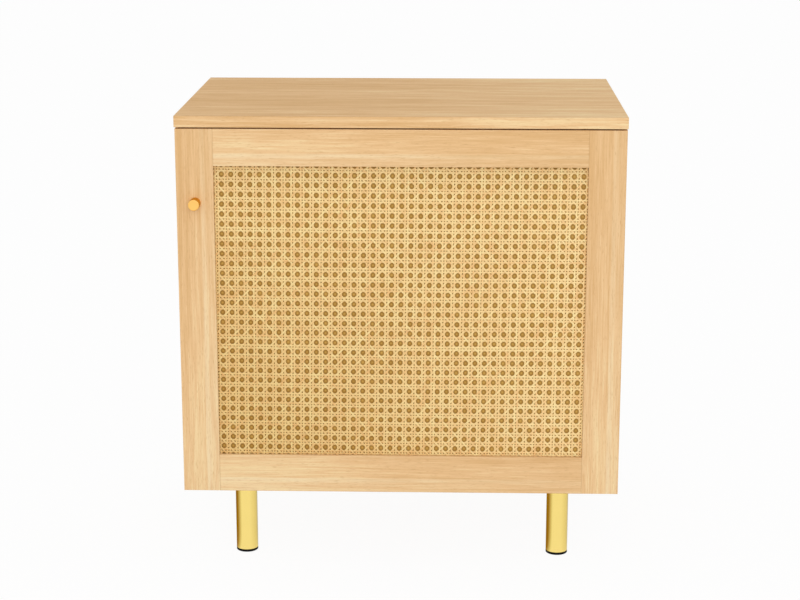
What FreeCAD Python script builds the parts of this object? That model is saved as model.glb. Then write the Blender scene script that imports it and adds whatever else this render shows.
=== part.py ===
import FreeCAD, Part
import os
import re

import Sketcher

# Storage side table with one door: an oak-faced cabinet under a flush top, a framed door with a
# woven cane panel, four round legs.  Millimetres, +Z up, the door faces -Y, X runs left to right.
# The origin is on the floor, at the middle of the whole table's footprint, knob included.

doc = FreeCAD.newDocument("storage_side_table")
sheet = doc.addObject("Spreadsheet::Sheet", "Sizes")
parts = {}

VECTOR = FreeCAD.Vector

# ---------------------------------------------------------------------------------------------
# Sizes.  A number is a size that can be set by itself; a text is worked out from other sizes.
# ---------------------------------------------------------------------------------------------

SIZES = [
    # Whole table
    ("table_width", 600.0, "left to right"),
    ("table_depth", 400.0, "back of the top to its front edge"),
    ("table_height", 630.0, "floor to top"),
    ("sheet_thick", 15.0, "top, sides, bottom and shelf"),
    ("leg_height", 110.0, "floor to the underside of the cabinet"),
    # Door frame
    ("door_thick", 15.0, "frame members"),
    ("door_gap", 2.0, "between the door's back and the cabinet, filled by the bumpers"),
    ("door_side_reveal", 1.0, "door's edge in from the cabinet's side"),
    ("door_top_gap", 2.0, "under the top"),
    ("door_drop", 1.0, "door below the cabinet's underside"),
    ("stile_width", 50.0, "upright frame members"),
    ("top_rail_height", 49.6, "upper rail"),
    ("bottom_rail_height", 52.0, "lower rail"),
    ("lip_thick", 5.0, "front lip of the frame that the cane lies behind"),
    ("rebate_width", 9.0, "step behind the lip"),
    ("panel_play", 1.0, "panel's edge to the wall of the rebate"),
    ("backing_thick", 3.0, "board behind the cane"),
    ("bead_chamfer", 2.0, "inner back corner of the retaining beads"),
    ("frame_dowel_radius", 4.0, "dowels between stiles and rails"),
    ("frame_dowel_length", 40.0, "half in the stile, half in the rail"),
    ("frame_dowel_edge", 12.0, "rail's outer edge to the first dowel"),
    ("frame_dowel_pitch", 20.0, "between the two dowels of a joint"),
    # Woven cane
    ("cane_layers", 4.0, "two straight and two slanting runs of strands"),
    ("cane_strand_thick", 0.3, "every strand"),
    ("cane_layer_gap", 0.05, "between two runs"),
    ("cane_strand_width", 2.4, "strands of the pairs"),
    ("cane_slant_width", 2.5, "slanting strands"),
    ("cane_pair_half", 1.85, "half the distance between the two strands of a pair"),
    ("cane_pitch_x", 12.70, "hole to hole along a row"),
    ("cane_pitch_z", 13.55, "row to row"),
    ("cane_lean_x", 0.14, "shift to the right from a row to the next one up"),
    ("cane_lean_z", -0.034, "rise from a hole to the next on its right"),
    ("cane_hole_x", 0.25, "middle hole from the middle of the opening"),
    ("cane_hole_z", -1.4, "the same, upwards"),
    # Knob
    ("knob_radius", 7.4, "round knob"),
    ("knob_reach", 18.0, "knob's end in front of the door"),
    ("knob_edge", 0.8, "bevel round the knob's end"),
    ("knob_inset", 25.1, "from the door's free edge"),
    ("knob_drop", 99.6, "from the door's top edge"),
    ("knob_screw_radius", 2.0, "screw from behind the door"),
    ("knob_screw_bite", 9.0, "length of screw inside the knob"),
    ("knob_screw_head_radius", 4.0, "its head"),
    ("knob_screw_head", 2.2, "height of its head"),
    # Legs
    ("leg_radius", 15.2, "outside of the tube"),
    ("leg_wall", 1.5, "tube wall"),
    ("leg_edge", 0.8, "bevel round the tube's lower end"),
    ("leg_inset_x", 80.0, "leg's axis from the table's side"),
    ("leg_inset_y", 63.0, "leg's axis from the front edge and from the back"),
    ("foot_height", 3.0, "plastic below the tube"),
    ("foot_plug", 14.0, "plastic inside the tube"),
    ("foot_play", 0.1, "plug to the tube's bore"),
    ("foot_edge", 0.5, "bevel round the foot's underside"),
    ("leg_nut_height", 12.0, "threaded insert in the tube's top"),
    ("leg_stud_radius", 4.0, "stud through the plate"),
    ("leg_stud_bite", 9.0, "stud's length above the plate"),
    ("leg_plate_side", 64.0, "square plate under the cabinet"),
    ("leg_plate_thick", 2.5, "plate's thickness"),
    ("leg_plate_hole_inset", 8.0, "screw from the plate's edges"),
    ("plate_screw_radius", 1.9, "four screws for each plate"),
    ("plate_screw_bite", 11.0, "length inside the wood"),
    ("plate_screw_head_radius", 4.0, "their heads"),
    ("plate_screw_head", 1.8, "height of their heads"),
    # Back and shelf
    ("back_thick", 3.0, "back board"),
    ("back_inset", 10.0, "groove from the rear edges"),
    ("groove_depth", 5.0, "grooves that the back board sits in"),
    ("shelf_side_play", 0.5, "shelf to each side panel"),
    ("shelf_setback", 14.0, "shelf's front edge behind the cabinet's"),
    ("shelf_back_play", 2.0, "shelf to the back board"),
    ("pin_radius", 2.5, "shelf pins"),
    ("pin_bite", 8.0, "length in the side"),
    ("pin_reach", 8.0, "length under the shelf"),
    ("pin_inset", 50.0, "pin rows from the cabinet's front and from the back board"),
    ("pin_row_pitch", 32.0, "one row to the next"),
    ("pin_row_count", 5.0, "rows of bores"),
    ("shelf_row", 2.0, "row in use, counted from 0"),
    ("pin_row_start", 182.0, "first row above the bottom panel"),
    # Knock-down fittings
    ("cam_radius", 7.5, "cams that pull two boards together"),
    ("cam_depth", 12.0, "cam's height"),
    ("cam_reach", 24.0, "cam's axis from the joint"),
    ("cam_bolt_radius", 3.0, "threaded part of the bolt"),
    ("cam_bolt_bite", 10.0, "length screwed into the other board"),
    ("cam_bolt_neck", 2.1, "radius of the bolt between thread and head"),
    ("cam_bolt_head_radius", 3.4, "head that the cam grips"),
    ("cam_bolt_head", 3.0, "length of that head"),
    ("cam_bolt_way", 3.5, "radius of the bore for the bolt"),
    ("cam_cross_width", 2.0, "driver slot"),
    ("cam_cross_depth", 2.0, "depth of the slot"),
    ("cam_cross_length", 10.0, "length of the slot"),
    ("fitting_inset", 42.0, "cams from the front and rear edges of the cabinet"),
    ("dowel_radius", 4.0, "dowels between boards"),
    ("dowel_length", 30.0, "whole dowel"),
    ("dowel_top_bite", 10.0, "length of a dowel in the top or in a side"),
    ("dowel_spacing", 32.0, "dowel from its cam"),
    # Cup hinges.  Across is measured from the door's hinged edge towards its free edge, ahead
    # from the cabinet's front edge towards the door.
    ("cup_inset", 90.0, "cups' middles from the door's top and bottom edges"),
    ("cup_radius", 17.5, "cup and its bore in the door"),
    ("cup_wall", 1.2, "side wall of the cup"),
    ("cup_depth", 11.5, "cup's outside, from the door's back"),
    ("cup_floor", 0.9, "bottom of the cup"),
    ("cup_across", 22.5, "cup's axis"),
    ("cup_ear_half", 28.0, "half the length of the screw flange"),
    ("cup_ear_across", 32.0, "middle of the flange"),
    ("cup_ear_width", 15.0, "width of the flange"),
    ("cup_ear_thick", 1.2, "thickness of the flange"),
    ("cup_screw_half", 23.5, "cup screws from the hinge's middle"),
    ("cup_screw_radius", 1.8, "two screws for each cup"),
    ("cup_screw_bite", 9.0, "length inside the wood"),
    ("cup_screw_head_radius", 3.4, "their heads"),
    ("cup_screw_head", 1.4, "height of their heads"),
    ("arm_pivot_across", 33.5, "pivot between arm and link"),
    ("cup_pivot_across", 14.0, "pivot between link and cup"),
    ("pivot_ahead", 5.8, "both pivots"),
    ("hinge_pin_radius", 1.25, "pivot pins"),
    ("hinge_pin_play", 0.06, "pin to the link's eyes, all round"),
    ("knuckle_radius", 3.0, "metal round a pivot"),
    ("link_half_width", 1.4, "link's bar between its eyes"),
    ("link_plate", 1.5, "thickness of the link's bars and web"),
    ("link_side_play", 0.35, "nose to link"),
    ("lug_side_play", 0.5, "link to lug"),
    ("lug_thick", 2.5, "lugs in the cup"),
    ("link_web_start", 6.5, "cross web from the arm's pivot"),
    ("link_web_length", 7.0, "its length"),
    ("nose_half", 4.6, "half the width of the arm's nose"),
    ("arm_half", 8.0, "half the width of the arm"),
    ("arm_wall", 1.2, "sheet of the arm"),
    ("arm_front", 3.0, "arm's front end behind the cabinet's front edge"),
    ("arm_back", 58.0, "arm's rear end"),
    ("nose_root", 14.0, "rear end of the nose inside the arm"),
    ("mount_thick", 3.0, "mounting plate on the side panel"),
    ("mount_front", 18.0, "plate's front end"),
    ("mount_wing_front", 28.0, "front edge of its wings"),
    ("mount_wing_back", 46.0, "rear edge of its wings"),
    ("mount_wing_half", 24.0, "half the span of its wings"),
    ("mount_screw_half", 16.0, "screws above and below the middle"),
    ("mount_screw_radius", 2.2, "two screws for each plate"),
    ("mount_screw_bite", 11.0, "length below the head"),
    ("mount_screw_head_radius", 3.6, "their heads"),
    ("mount_screw_head", 1.6, "height of their heads"),
    ("arm_screw_back", 50.0, "arm's fixing screw"),
    ("arm_screw_radius", 2.0, "that screw's shank"),
    ("arm_screw_head_radius", 4.0, "its head"),
    ("arm_screw_head", 1.8, "height of its head"),
    # Magnetic catch and bumpers
    ("catch_drop", 60.0, "catch's middle from the door's top edge"),
    ("catch_height", 46.0, "housing, upwards"),
    ("catch_width", 14.0, "housing, from the side panel"),
    ("catch_depth", 16.0, "housing, front to back"),
    ("catch_setback", 1.0, "housing behind the cabinet's front edge"),
    ("catch_wall", 2.0, "housing's wall"),
    ("catch_ear", 8.0, "solid end of the housing that a screw passes"),
    ("strike_thick", 1.0, "steel plate on the door"),
    ("strike_height", 38.0, "its length upwards"),
    ("strike_sink", 0.5, "its screw's head let into it"),
    ("strike_play", 0.3, "magnet to strike, door shut"),
    ("small_screw_radius", 1.5, "screws of the catch and the strike plate"),
    ("small_screw_bite", 9.0, "catch screw's length inside the wood"),
    ("small_screw_head_radius", 3.0, "their heads"),
    ("small_screw_head_play", 0.1, "head to its sink"),
    ("small_screw_head", 1.3, "height of a catch screw's head"),
    ("strike_screw_bite", 7.0, "strike screw's length inside the wood"),
    ("bumper_radius", 4.0, "soft pads"),
    ("bumper_play", 0.3, "bumper to the shut door"),
    ("bumper_inset", 10.0, "bumpers from the ends of the side panel"),
    # Worked out: whole table
    ("half_width", "=table_width / 2", ""),
    ("front", "=(knob_reach - table_depth) / 2", "front edge of the top and face of the door"),
    ("back", "=front + table_depth", ""),
    ("cabinet_front", "=front + door_thick + door_gap", ""),
    ("cabinet_depth", "=back - cabinet_front", ""),
    ("top_under", "=table_height - sheet_thick", "underside of the top"),
    ("side_height", "=top_under - leg_height", ""),
    ("inner_half", "=half_width - sheet_thick", ""),
    ("floor_top", "=leg_height + sheet_thick", "top of the bottom panel"),
    ("back_front", "=back - back_inset - back_thick", "front face of the back board"),
    # Worked out: door
    ("door_half", "=half_width - door_side_reveal", ""),
    ("door_top", "=top_under - door_top_gap", ""),
    ("door_bottom", "=leg_height - door_drop", ""),
    ("door_height", "=door_top - door_bottom", ""),
    ("door_back", "=front + door_thick", ""),
    ("open_half", "=door_half - stile_width", "half the width of the frame's opening"),
    ("open_bottom", "=door_bottom + bottom_rail_height", ""),
    ("open_top", "=door_top - top_rail_height", ""),
    ("open_height", "=open_top - open_bottom", ""),
    ("rebate_depth", "=door_thick - lip_thick", ""),
    ("rebate_height", "=open_height + 2 * rebate_width", ""),
    ("panel_half", "=open_half + rebate_width - panel_play", ""),
    ("panel_bottom", "=open_bottom - rebate_width + panel_play", ""),
    ("panel_height", "=open_height + 2 * (rebate_width - panel_play)", ""),
    ("cane_front", "=front + lip_thick", ""),
    ("cane_layer", "=cane_strand_thick + cane_layer_gap", ""),
    ("backing_front", "=cane_front + cane_layers * cane_layer", ""),
    ("bead_front", "=backing_front + backing_thick", ""),
    ("bead_thick", "=door_back - bead_front", ""),
    ("knob_x", "=knob_inset - door_half", ""),
    ("knob_z", "=door_top - knob_drop", ""),
    # Worked out: legs
    ("leg_x", "=half_width - leg_inset_x", ""),
    ("leg_front_y", "=front + leg_inset_y", ""),
    ("leg_back_y", "=back - leg_inset_y", ""),
    ("leg_top", "=leg_height - leg_plate_thick", "top of the tube"),
    ("leg_bore", "=leg_radius - leg_wall", ""),
    ("plate_hole_half", "=leg_plate_side / 2 - leg_plate_hole_inset", ""),
    # Worked out: shelf
    ("pin_z", "=floor_top + pin_row_start + shelf_row * pin_row_pitch", ""),
    ("pin_front_y", "=cabinet_front + pin_inset", ""),
    ("pin_back_y", "=back_front - pin_inset", ""),
    ("shelf_bottom", "=pin_z + pin_radius", ""),
    ("shelf_half", "=inner_half - shelf_side_play", ""),
    ("shelf_front", "=cabinet_front + shelf_setback", ""),
    ("shelf_depth", "=back_front - shelf_back_play - shelf_front", ""),
    # Worked out: fittings
    ("cam_front_y", "=cabinet_front + fitting_inset", ""),
    ("cam_back_y", "=back - fitting_inset", ""),
    ("dowel_front_y", "=cam_front_y + dowel_spacing", ""),
    ("dowel_back_y", "=cam_back_y - dowel_spacing", ""),
    ("dowel_low_bite", "=dowel_length - dowel_top_bite", ""),
    # Worked out: hinges, in each hinge's own frame (x = 0 at the door's edge, y = 0 at the
    # cabinet's front edge)
    ("hinge_upper_z", "=door_top - cup_inset", ""),
    ("hinge_lower_z", "=door_bottom + cup_inset", ""),
    ("side_inner", "=inner_half - door_half", "inner face of the side panel"),
    ("mount_top", "=side_inner - mount_thick", ""),
    ("arm_inner", "=0 - arm_pivot_across - knuckle_radius", "arm's face towards the room inside"),
    ("link_inner", "=nose_half + link_side_play", ""),
    ("link_outer", "=link_inner + link_plate", ""),
    ("lug_inner", "=link_outer + lug_side_play", ""),
    ("lug_outer", "=lug_inner + lug_thick", ""),
    ("eye_radius", "=hinge_pin_radius + hinge_pin_play", "bore of the link's eyes"),
    ("cup_floor_y", "=0 - door_gap - cup_depth + cup_floor", ""),
    ("lug_front_y", "=knuckle_radius - pivot_ahead", ""),
    # Worked out: catch and bumpers
    ("catch_z", "=door_top - catch_drop", ""),
    ("catch_y", "=cabinet_front + catch_setback", ""),
    ("magnet_front", "=door_back + strike_thick + strike_play", ""),
    ("magnet_height", "=catch_height - 2 * catch_ear", ""),
    ("bumper_length", "=door_gap - bumper_play", ""),
]


def fill_sheet():
    """Write every size with its name and its note."""
    for row, (name, amount, note) in enumerate(SIZES, start=1):
        sheet.set("A%d" % row, name)
        sheet.set("B%d" % row, str(amount))
        sheet.set("C%d" % row, note)
        sheet.setAlias("B%d" % row, name)
    doc.recompute()


def refer(text):
    """Turn plain size names into references to the sheet."""
    return re.sub(r"[a-z][a-z_0-9]*", lambda found: "Sizes." + found.group(0), text)


def amount(text):
    """The present value of an expression of size names."""
    return float(sheet.evalExpression(refer(text)))


def bind(item, prop, text):
    item.setExpression(prop, refer(text))


def place(item, corner):
    for axis, text in zip("xyz", corner):
        bind(item, "Placement.Base." + axis, text)


# ---------------------------------------------------------------------------------------------
# Shapes
# ---------------------------------------------------------------------------------------------

TURNS = {
    "+z": FreeCAD.Rotation(),
    "-z": FreeCAD.Rotation(VECTOR(1, 0, 0), 180),
    "+x": FreeCAD.Rotation(VECTOR(0, 1, 0), 90),
    "-x": FreeCAD.Rotation(VECTOR(0, 1, 0), -90),
    "+y": FreeCAD.Rotation(VECTOR(1, 0, 0), -90),
    "-y": FreeCAD.Rotation(VECTOR(1, 0, 0), 90),
}


def box(name, size, corner):
    """A box from its low corner."""
    item = doc.addObject("Part::Box", name)
    for prop, text in zip(("Length", "Width", "Height"), size):
        bind(item, prop, text)
    place(item, corner)
    return item


def rod(name, radius, length, start, way):
    """A cylinder that starts at a point and runs along one of the axes."""
    item = doc.addObject("Part::Cylinder", name)
    bind(item, "Radius", radius)
    bind(item, "Height", length)
    item.Placement = FreeCAD.Placement(VECTOR(), TURNS[way])
    place(item, start)
    return item


def fuse(name, items):
    if len(items) == 1:
        return items[0]
    item = doc.addObject("Part::MultiFuse", name)
    item.Shapes = items
    return item


def cut(name, blank, tools):
    item = doc.addObject("Part::Cut", name)
    item.Base = blank
    item.Tool = fuse(name + "_tools", tools)
    return item


def group(name, items):
    """Separate solids kept as one sub-part."""
    item = doc.addObject("Part::Compound", name)
    item.Links = items
    return item


def sub_part(name, item):
    item.Label = name
    parts[name] = item
    return item


def profile(body, role, points):
    """A closed outline on one of the body's own planes, every corner tied to the sheet."""
    plane = [each for each in body.Origin.OriginFeatures if each.Role == role][0]
    sketch = body.newObject("Sketcher::SketchObject", body.Name + "_outline")
    sketch.AttachmentSupport = [(plane, "")]
    sketch.MapMode = "FlatFace"
    spots = [VECTOR(amount(across), amount(up), 0) for across, up in points]
    count = len(spots)
    for index in range(count):
        sketch.addGeometry(Part.LineSegment(spots[index], spots[(index + 1) % count]), False)
    for index in range(count):
        sketch.addConstraint(Sketcher.Constraint("Coincident", index, 2, (index + 1) % count, 1))
    for index, corner in enumerate(points):
        for kind, text, axis in zip(("DistanceX", "DistanceY"), corner, (-2, -1)):
            if text == "0":
                sketch.addConstraint(Sketcher.Constraint("PointOnObject", index, 1, axis))
                continue
            rule = Sketcher.Constraint(kind, -1, 1, index, 1, amount(text))
            label = "%s%d" % (kind[-1].lower() + "_of_corner_", index)
            sketch.renameConstraint(sketch.addConstraint(rule), label)
            bind(sketch, "Constraints." + label, text)
    return sketch


def padded(name, role, points, length, corner, reverse=False):
    """A body made by padding an outline from one of its planes."""
    body = doc.addObject("PartDesign::Body", name)
    sketch = profile(body, role, points)
    pad = body.newObject("PartDesign::Pad", name + "_pad")
    pad.Profile = sketch
    pad.Reversed = reverse
    bind(pad, "Length", length)
    sketch.Visibility = False
    place(body, corner)
    return body


def turned(name, points, start, way):
    """A body turned on a lathe: points are radius and distance along the axis."""
    body = doc.addObject("PartDesign::Body", name)
    sketch = profile(body, "XZ_Plane", points)
    lathe = body.newObject("PartDesign::Revolution", name + "_turning")
    lathe.Profile = sketch
    lathe.ReferenceAxis = (sketch, ["V_Axis"])
    lathe.Angle = 360.0
    sketch.Visibility = False
    body.Placement = FreeCAD.Placement(VECTOR(), TURNS[way])
    place(body, start)
    return body


def screw(name, shank, bite, head_radius, head, seat, way):
    """A pan-head screw: its head stands on the seat, its shank runs the given way."""
    points = [("0", "0 - " + head), (head_radius, "0 - " + head), (head_radius, "0"),
              (shank, "0"), (shank, bite), ("0", bite)]
    return turned(name, points, seat, way)


# ---------------------------------------------------------------------------------------------
# Cabinet
# ---------------------------------------------------------------------------------------------

SIDES = (("left", "-", "+x", "-x"), ("right", "", "-x", "+x"))
ENDS = ("front", "back")


def cam_lock(name, centre, face_way, bolt_way):
    """A cam in its bore: the driver slot is at the open face, the bolt enters along bolt_way."""
    x, y, z = centre
    blank = rod(name + "_blank", "cam_radius", "cam_depth", (x, y, z), face_way)
    depth = {"+x": (1, 0, 0), "-x": (-1, 0, 0), "+z": (0, 0, 1)}[face_way]
    middle = [text if not way else "%s %s sheet_thick / 2" % (text, "+" if way > 0 else "-")
              for text, way in zip(centre, depth)]
    passage = rod(name + "_way", "cam_bolt_way", "cam_radius * 2", middle, bolt_way)
    slot_size = ["cam_cross_length", "cam_cross_width", "cam_cross_depth"]
    if face_way == "+z":
        slot_corner = ("%s - cam_cross_length / 2" % x, "%s - cam_cross_width / 2" % y, z)
    else:
        slot_size = ["cam_cross_depth", "cam_cross_length", "cam_cross_width"]
        shift = "" if face_way == "+x" else " - cam_cross_depth"
        slot_corner = (x + shift, "%s - cam_cross_length / 2" % y,
                       "%s - cam_cross_width / 2" % z)
    slot = box(name + "_slot", slot_size, slot_corner)
    return cut(name, blank, [passage, slot])


def cam_bolt(name, joint, into_way, out_way):
    """A bolt screwed into one board at the joint plane; its neck and head reach the cam."""
    reach = "cam_reach"
    core = rod(name + "_thread", "cam_bolt_radius", "cam_bolt_bite", joint, into_way)
    neck = rod(name + "_neck", "cam_bolt_neck", reach + " - cam_bolt_head", joint, out_way)
    sign = {"-z": (0, 0, -1), "+x": (1, 0, 0), "-x": (-1, 0, 0)}[out_way]
    spot = [text if not way else "%s %s (cam_reach - cam_bolt_head)" % (text, "+-"[way < 0])
            for text, way in zip(joint, sign)]
    head = rod(name + "_head", "cam_bolt_head_radius", "cam_bolt_head", spot, out_way)
    return fuse(name, [core, neck, head])


def fittings():
    """Bores for each board, and the cams, bolts and dowels that fill them."""
    bores = {"top_panel": [], "side_panel_left": [], "side_panel_right": [], "bottom_panel": []}
    cams, bolts, dowels = [], [], []
    for side, minus, inward, outward in SIDES:
        side_name = "side_panel_" + side
        middle_x = "%s(half_width - sheet_thick / 2)" % minus
        face_x = "%sinner_half" % minus
        towards = "+" if minus else "-"
        for end in ENDS:
            tag = "%s_%s" % (side, end)
            cam_y = "cam_%s_y" % end
            dowel_y = "dowel_%s_y" % end
            cam_z = "top_under - cam_reach"
            joint = (middle_x, cam_y, "top_under")
            cams.append(cam_lock("cam_top_" + tag, (face_x, cam_y, cam_z), outward, "+z"))
            bolts.append(cam_bolt("bolt_top_" + tag, joint, "+z", "-z"))
            peg = (middle_x, dowel_y, "top_under - dowel_low_bite")
            dowels.append(rod("dowel_top_" + tag, "dowel_radius", "dowel_length", peg, "+z"))
            bores["top_panel"] += [
                rod("bore_bolt_" + tag, "cam_bolt_radius", "cam_bolt_bite", joint, "+z"),
                rod("bore_peg_" + tag, "dowel_radius", "dowel_top_bite",
                    (middle_x, dowel_y, "top_under"), "+z")]
            bores[side_name] += [
                rod("bore_cam_" + tag, "cam_radius", "cam_depth", (face_x, cam_y, cam_z), outward),
                rod("bore_way_" + tag, "cam_bolt_way", "cam_reach", joint, "-z"),
                rod("bore_low_peg_" + tag, "dowel_radius", "dowel_length", peg, "+z")]
            low_z = "leg_height + sheet_thick / 2"
            low_joint = (face_x, cam_y, low_z)
            low_cam = ("%s %s cam_reach" % (face_x, towards), cam_y, "leg_height")
            cams.append(cam_lock("cam_low_" + tag, low_cam, "+z", outward))
            bolts.append(cam_bolt("bolt_low_" + tag, low_joint, outward, inward))
            low_peg = ("%s %s dowel_low_bite" % (face_x, towards), dowel_y, low_z)
            dowels.append(rod("dowel_low_" + tag, "dowel_radius", "dowel_length", low_peg, outward))
            bores[side_name] += [
                rod("bore_low_bolt_" + tag, "cam_bolt_radius", "cam_bolt_bite", low_joint, outward),
                rod("bore_end_peg_" + tag, "dowel_radius", "dowel_top_bite",
                    (face_x, dowel_y, low_z), outward)]
            bores["bottom_panel"] += [
                rod("bore_low_cam_" + tag, "cam_radius", "cam_depth", low_cam, "+z"),
                rod("bore_low_way_" + tag, "cam_bolt_way", "cam_reach", low_joint, inward),
                rod("bore_flat_peg_" + tag, "dowel_radius", "dowel_low_bite",
                    (face_x, dowel_y, low_z), inward)]
    sub_part("cam_locks", group("cam_lock_set", cams))
    sub_part("cam_bolts", group("cam_bolt_set", bolts))
    sub_part("carcass_dowels", group("carcass_dowel_set", dowels))
    return bores


def shelf_rows(bores):
    """Rows of pin bores in both sides; the shelf lies on the pins of one row."""
    pins = []
    for side, minus, inward, outward in SIDES:
        face_x = "%sinner_half" % minus
        for end in ENDS:
            tag = "%s_%s" % (side, end)
            y = "pin_%s_y" % end
            for row in range(int(amount("pin_row_count"))):
                z = "floor_top + pin_row_start + %d * pin_row_pitch" % row
                bores["side_panel_" + side].append(
                    rod("bore_pin_%s_%d" % (tag, row), "pin_radius", "pin_bite",
                        (face_x, y, z), outward))
            peg = rod("pin_peg_" + tag, "pin_radius", "pin_bite", (face_x, y, "pin_z"), outward)
            rest = rod("pin_rest_" + tag, "pin_radius", "pin_reach", (face_x, y, "pin_z"), inward)
            pins.append(fuse("shelf_pin_" + tag, [peg, rest]))
    sub_part("shelf_pins", group("shelf_pin_set", pins))
    size = ("2 * shelf_half", "shelf_depth", "sheet_thick")
    sub_part("shelf", box("shelf_board", size, ("-shelf_half", "shelf_front", "shelf_bottom")))


def hardware_bores(bores):
    """Holes in the cabinet for hinge plates, catch and legs."""
    inner = "inner_half"
    for level in ("upper", "lower"):
        for sign in "+-":
            z = "hinge_%s_z %s mount_screw_half" % (level, sign)
            y = "cabinet_front + (mount_wing_front + mount_wing_back) / 2"
            tag = "%s_%s" % (level, "above" if sign == "+" else "below")
            bores["side_panel_right"].append(
                rod("bore_mount_" + tag, "mount_screw_radius",
                    "mount_screw_bite - mount_thick", (inner, y, z), "+x"))
    for sign in "+-":
        z = "catch_z %s (catch_height - catch_ear) / 2" % sign
        tag = "above" if sign == "+" else "below"
        y = "catch_y + catch_depth / 2"
        bores["side_panel_left"].append(
            rod("bore_catch_" + tag, "small_screw_radius", "small_screw_bite",
                ("-" + inner, y, z), "-x"))
    for side, minus, inward, outward in SIDES:
        for end in ENDS:
            x, y = "%sleg_x" % minus, "leg_%s_y" % end
            tag = "%s_%s" % (side, end)
            bores["bottom_panel"].append(
                rod("bore_stud_" + tag, "leg_stud_radius", "leg_stud_bite",
                    (x, y, "leg_height"), "+z"))
            for number, (way_x, way_y) in enumerate(("++", "+-", "-+", "--")):
                spot = ("%s %s plate_hole_half" % (x, way_x), "%s %s plate_hole_half" % (y, way_y),
                        "leg_height")
                bores["bottom_panel"].append(
                    rod("bore_plate_%s_%d" % (tag, number), "plate_screw_radius",
                        "plate_screw_bite - leg_plate_thick", spot, "+z"))


def cabinet():
    """Top, sides, bottom, back and shelf."""
    bores = fittings()
    shelf_rows(bores)
    hardware_bores(bores)
    groove_half = "inner_half + groove_depth"
    groove = ("2 * (%s)" % groove_half, "back_thick", "groove_depth")
    bores["top_panel"].append(
        box("groove_top", groove, ("0 - (%s)" % groove_half, "back_front", "top_under")))
    bores["bottom_panel"].append(
        box("groove_low", ("2 * inner_half", "back_thick", "groove_depth"),
            ("0 - inner_half", "back_front", "floor_top - groove_depth")))
    for side, minus, inward, outward in SIDES:
        low_x = "0 - inner_half - groove_depth" if minus else "inner_half"
        bores["side_panel_" + side].append(
            box("groove_" + side,
                ("groove_depth", "back_thick", "top_under - floor_top + groove_depth"),
                (low_x, "back_front", "floor_top - groove_depth")))

    flat = [("0", "0"), ("table_width", "0"), ("table_width", "table_depth"), ("0", "table_depth")]
    top = padded("top_blank", "XY_Plane", flat, "sheet_thick",
                 ("0 - half_width", "front", "top_under"))
    sub_part("top_panel", cut("top_board", top, bores["top_panel"]))
    low = [("0", "0"), ("2 * inner_half", "0"), ("2 * inner_half", "cabinet_depth"),
           ("0", "cabinet_depth")]
    bottom = padded("bottom_blank", "XY_Plane", low, "sheet_thick",
                    ("0 - inner_half", "cabinet_front", "leg_height"))
    sub_part("bottom_panel", cut("bottom_board", bottom, bores["bottom_panel"]))
    wall = [("0", "0"), ("cabinet_depth", "0"), ("cabinet_depth", "side_height"),
            ("0", "side_height")]
    for side, minus, inward, outward in SIDES:
        low_x = "0 - half_width" if minus else "inner_half"
        blank = padded("side_blank_" + side, "YZ_Plane", wall, "sheet_thick",
                       (low_x, "cabinet_front", "leg_height"))
        sub_part("side_panel_" + side,
                 cut("side_board_" + side, blank, bores["side_panel_" + side]))
    size = ("2 * (inner_half + groove_depth)", "back_thick",
            "top_under - floor_top + 2 * groove_depth")
    corner = ("0 - inner_half - groove_depth", "back_front", "floor_top - groove_depth")
    sub_part("back_panel", box("back_board", size, corner))


def legs():
    """Four tubes on screwed plates, each with a threaded insert, a stud and a plastic foot."""
    plates, studs, nuts, screws = [], [], [], []
    for side, minus, inward, outward in SIDES:
        for end in ENDS:
            tag = "%s_%s" % (side, end)
            x, y = "%sleg_x" % minus, "leg_%s_y" % end
            axis = (x, y, "0")
            sub_part("leg_tube_" + tag, turned("leg_" + tag, [
                ("leg_bore", "foot_height"), ("leg_radius - leg_edge", "foot_height"),
                ("leg_radius", "foot_height + leg_edge"), ("leg_radius", "leg_top"),
                ("leg_bore", "leg_top")], axis, "+z"))
            sub_part("leg_foot_" + tag, turned("foot_" + tag, [
                ("0", "0"), ("leg_radius - foot_edge", "0"), ("leg_radius", "foot_edge"),
                ("leg_radius", "foot_height"), ("leg_bore - foot_play", "foot_height"),
                ("leg_bore - foot_play", "foot_height + foot_plug"),
                ("0", "foot_height + foot_plug")], axis, "+z"))
            nuts.append(turned("nut_" + tag, [
                ("leg_stud_radius", "leg_top - leg_nut_height"),
                ("leg_bore", "leg_top - leg_nut_height"),
                ("leg_bore", "leg_top"), ("leg_stud_radius", "leg_top")], axis, "+z"))
            studs.append(rod("stud_" + tag, "leg_stud_radius",
                             "leg_nut_height + leg_plate_thick + leg_stud_bite",
                             (x, y, "leg_top - leg_nut_height"), "+z"))
            corner = ("%s - leg_plate_side / 2" % x, "%s - leg_plate_side / 2" % y, "leg_top")
            plate = box("plate_" + tag, ("leg_plate_side", "leg_plate_side", "leg_plate_thick"),
                        corner)
            holes = [rod("plate_eye_" + tag, "leg_stud_radius", "leg_plate_thick",
                         (x, y, "leg_top"), "+z")]
            for number, (way_x, way_y) in enumerate(("++", "+-", "-+", "--")):
                seat = ("%s %s plate_hole_half" % (x, way_x), "%s %s plate_hole_half" % (y, way_y),
                        "leg_top")
                name = "%s_%d" % (tag, number)
                holes.append(rod("plate_hole_" + name, "plate_screw_radius", "leg_plate_thick",
                                 seat, "+z"))
                screws.append(screw("plate_screw_" + name, "plate_screw_radius",
                                    "plate_screw_bite", "plate_screw_head_radius",
                                    "plate_screw_head", seat, "+z"))
            plates.append(cut("plate_drilled_" + tag, plate, holes))
    sub_part("leg_plates", group("leg_plate_set", plates))
    sub_part("leg_nuts", group("leg_nut_set", nuts))
    sub_part("leg_studs", group("leg_stud_set", studs))
    sub_part("leg_plate_screws", group("leg_screw_set", screws))


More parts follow.
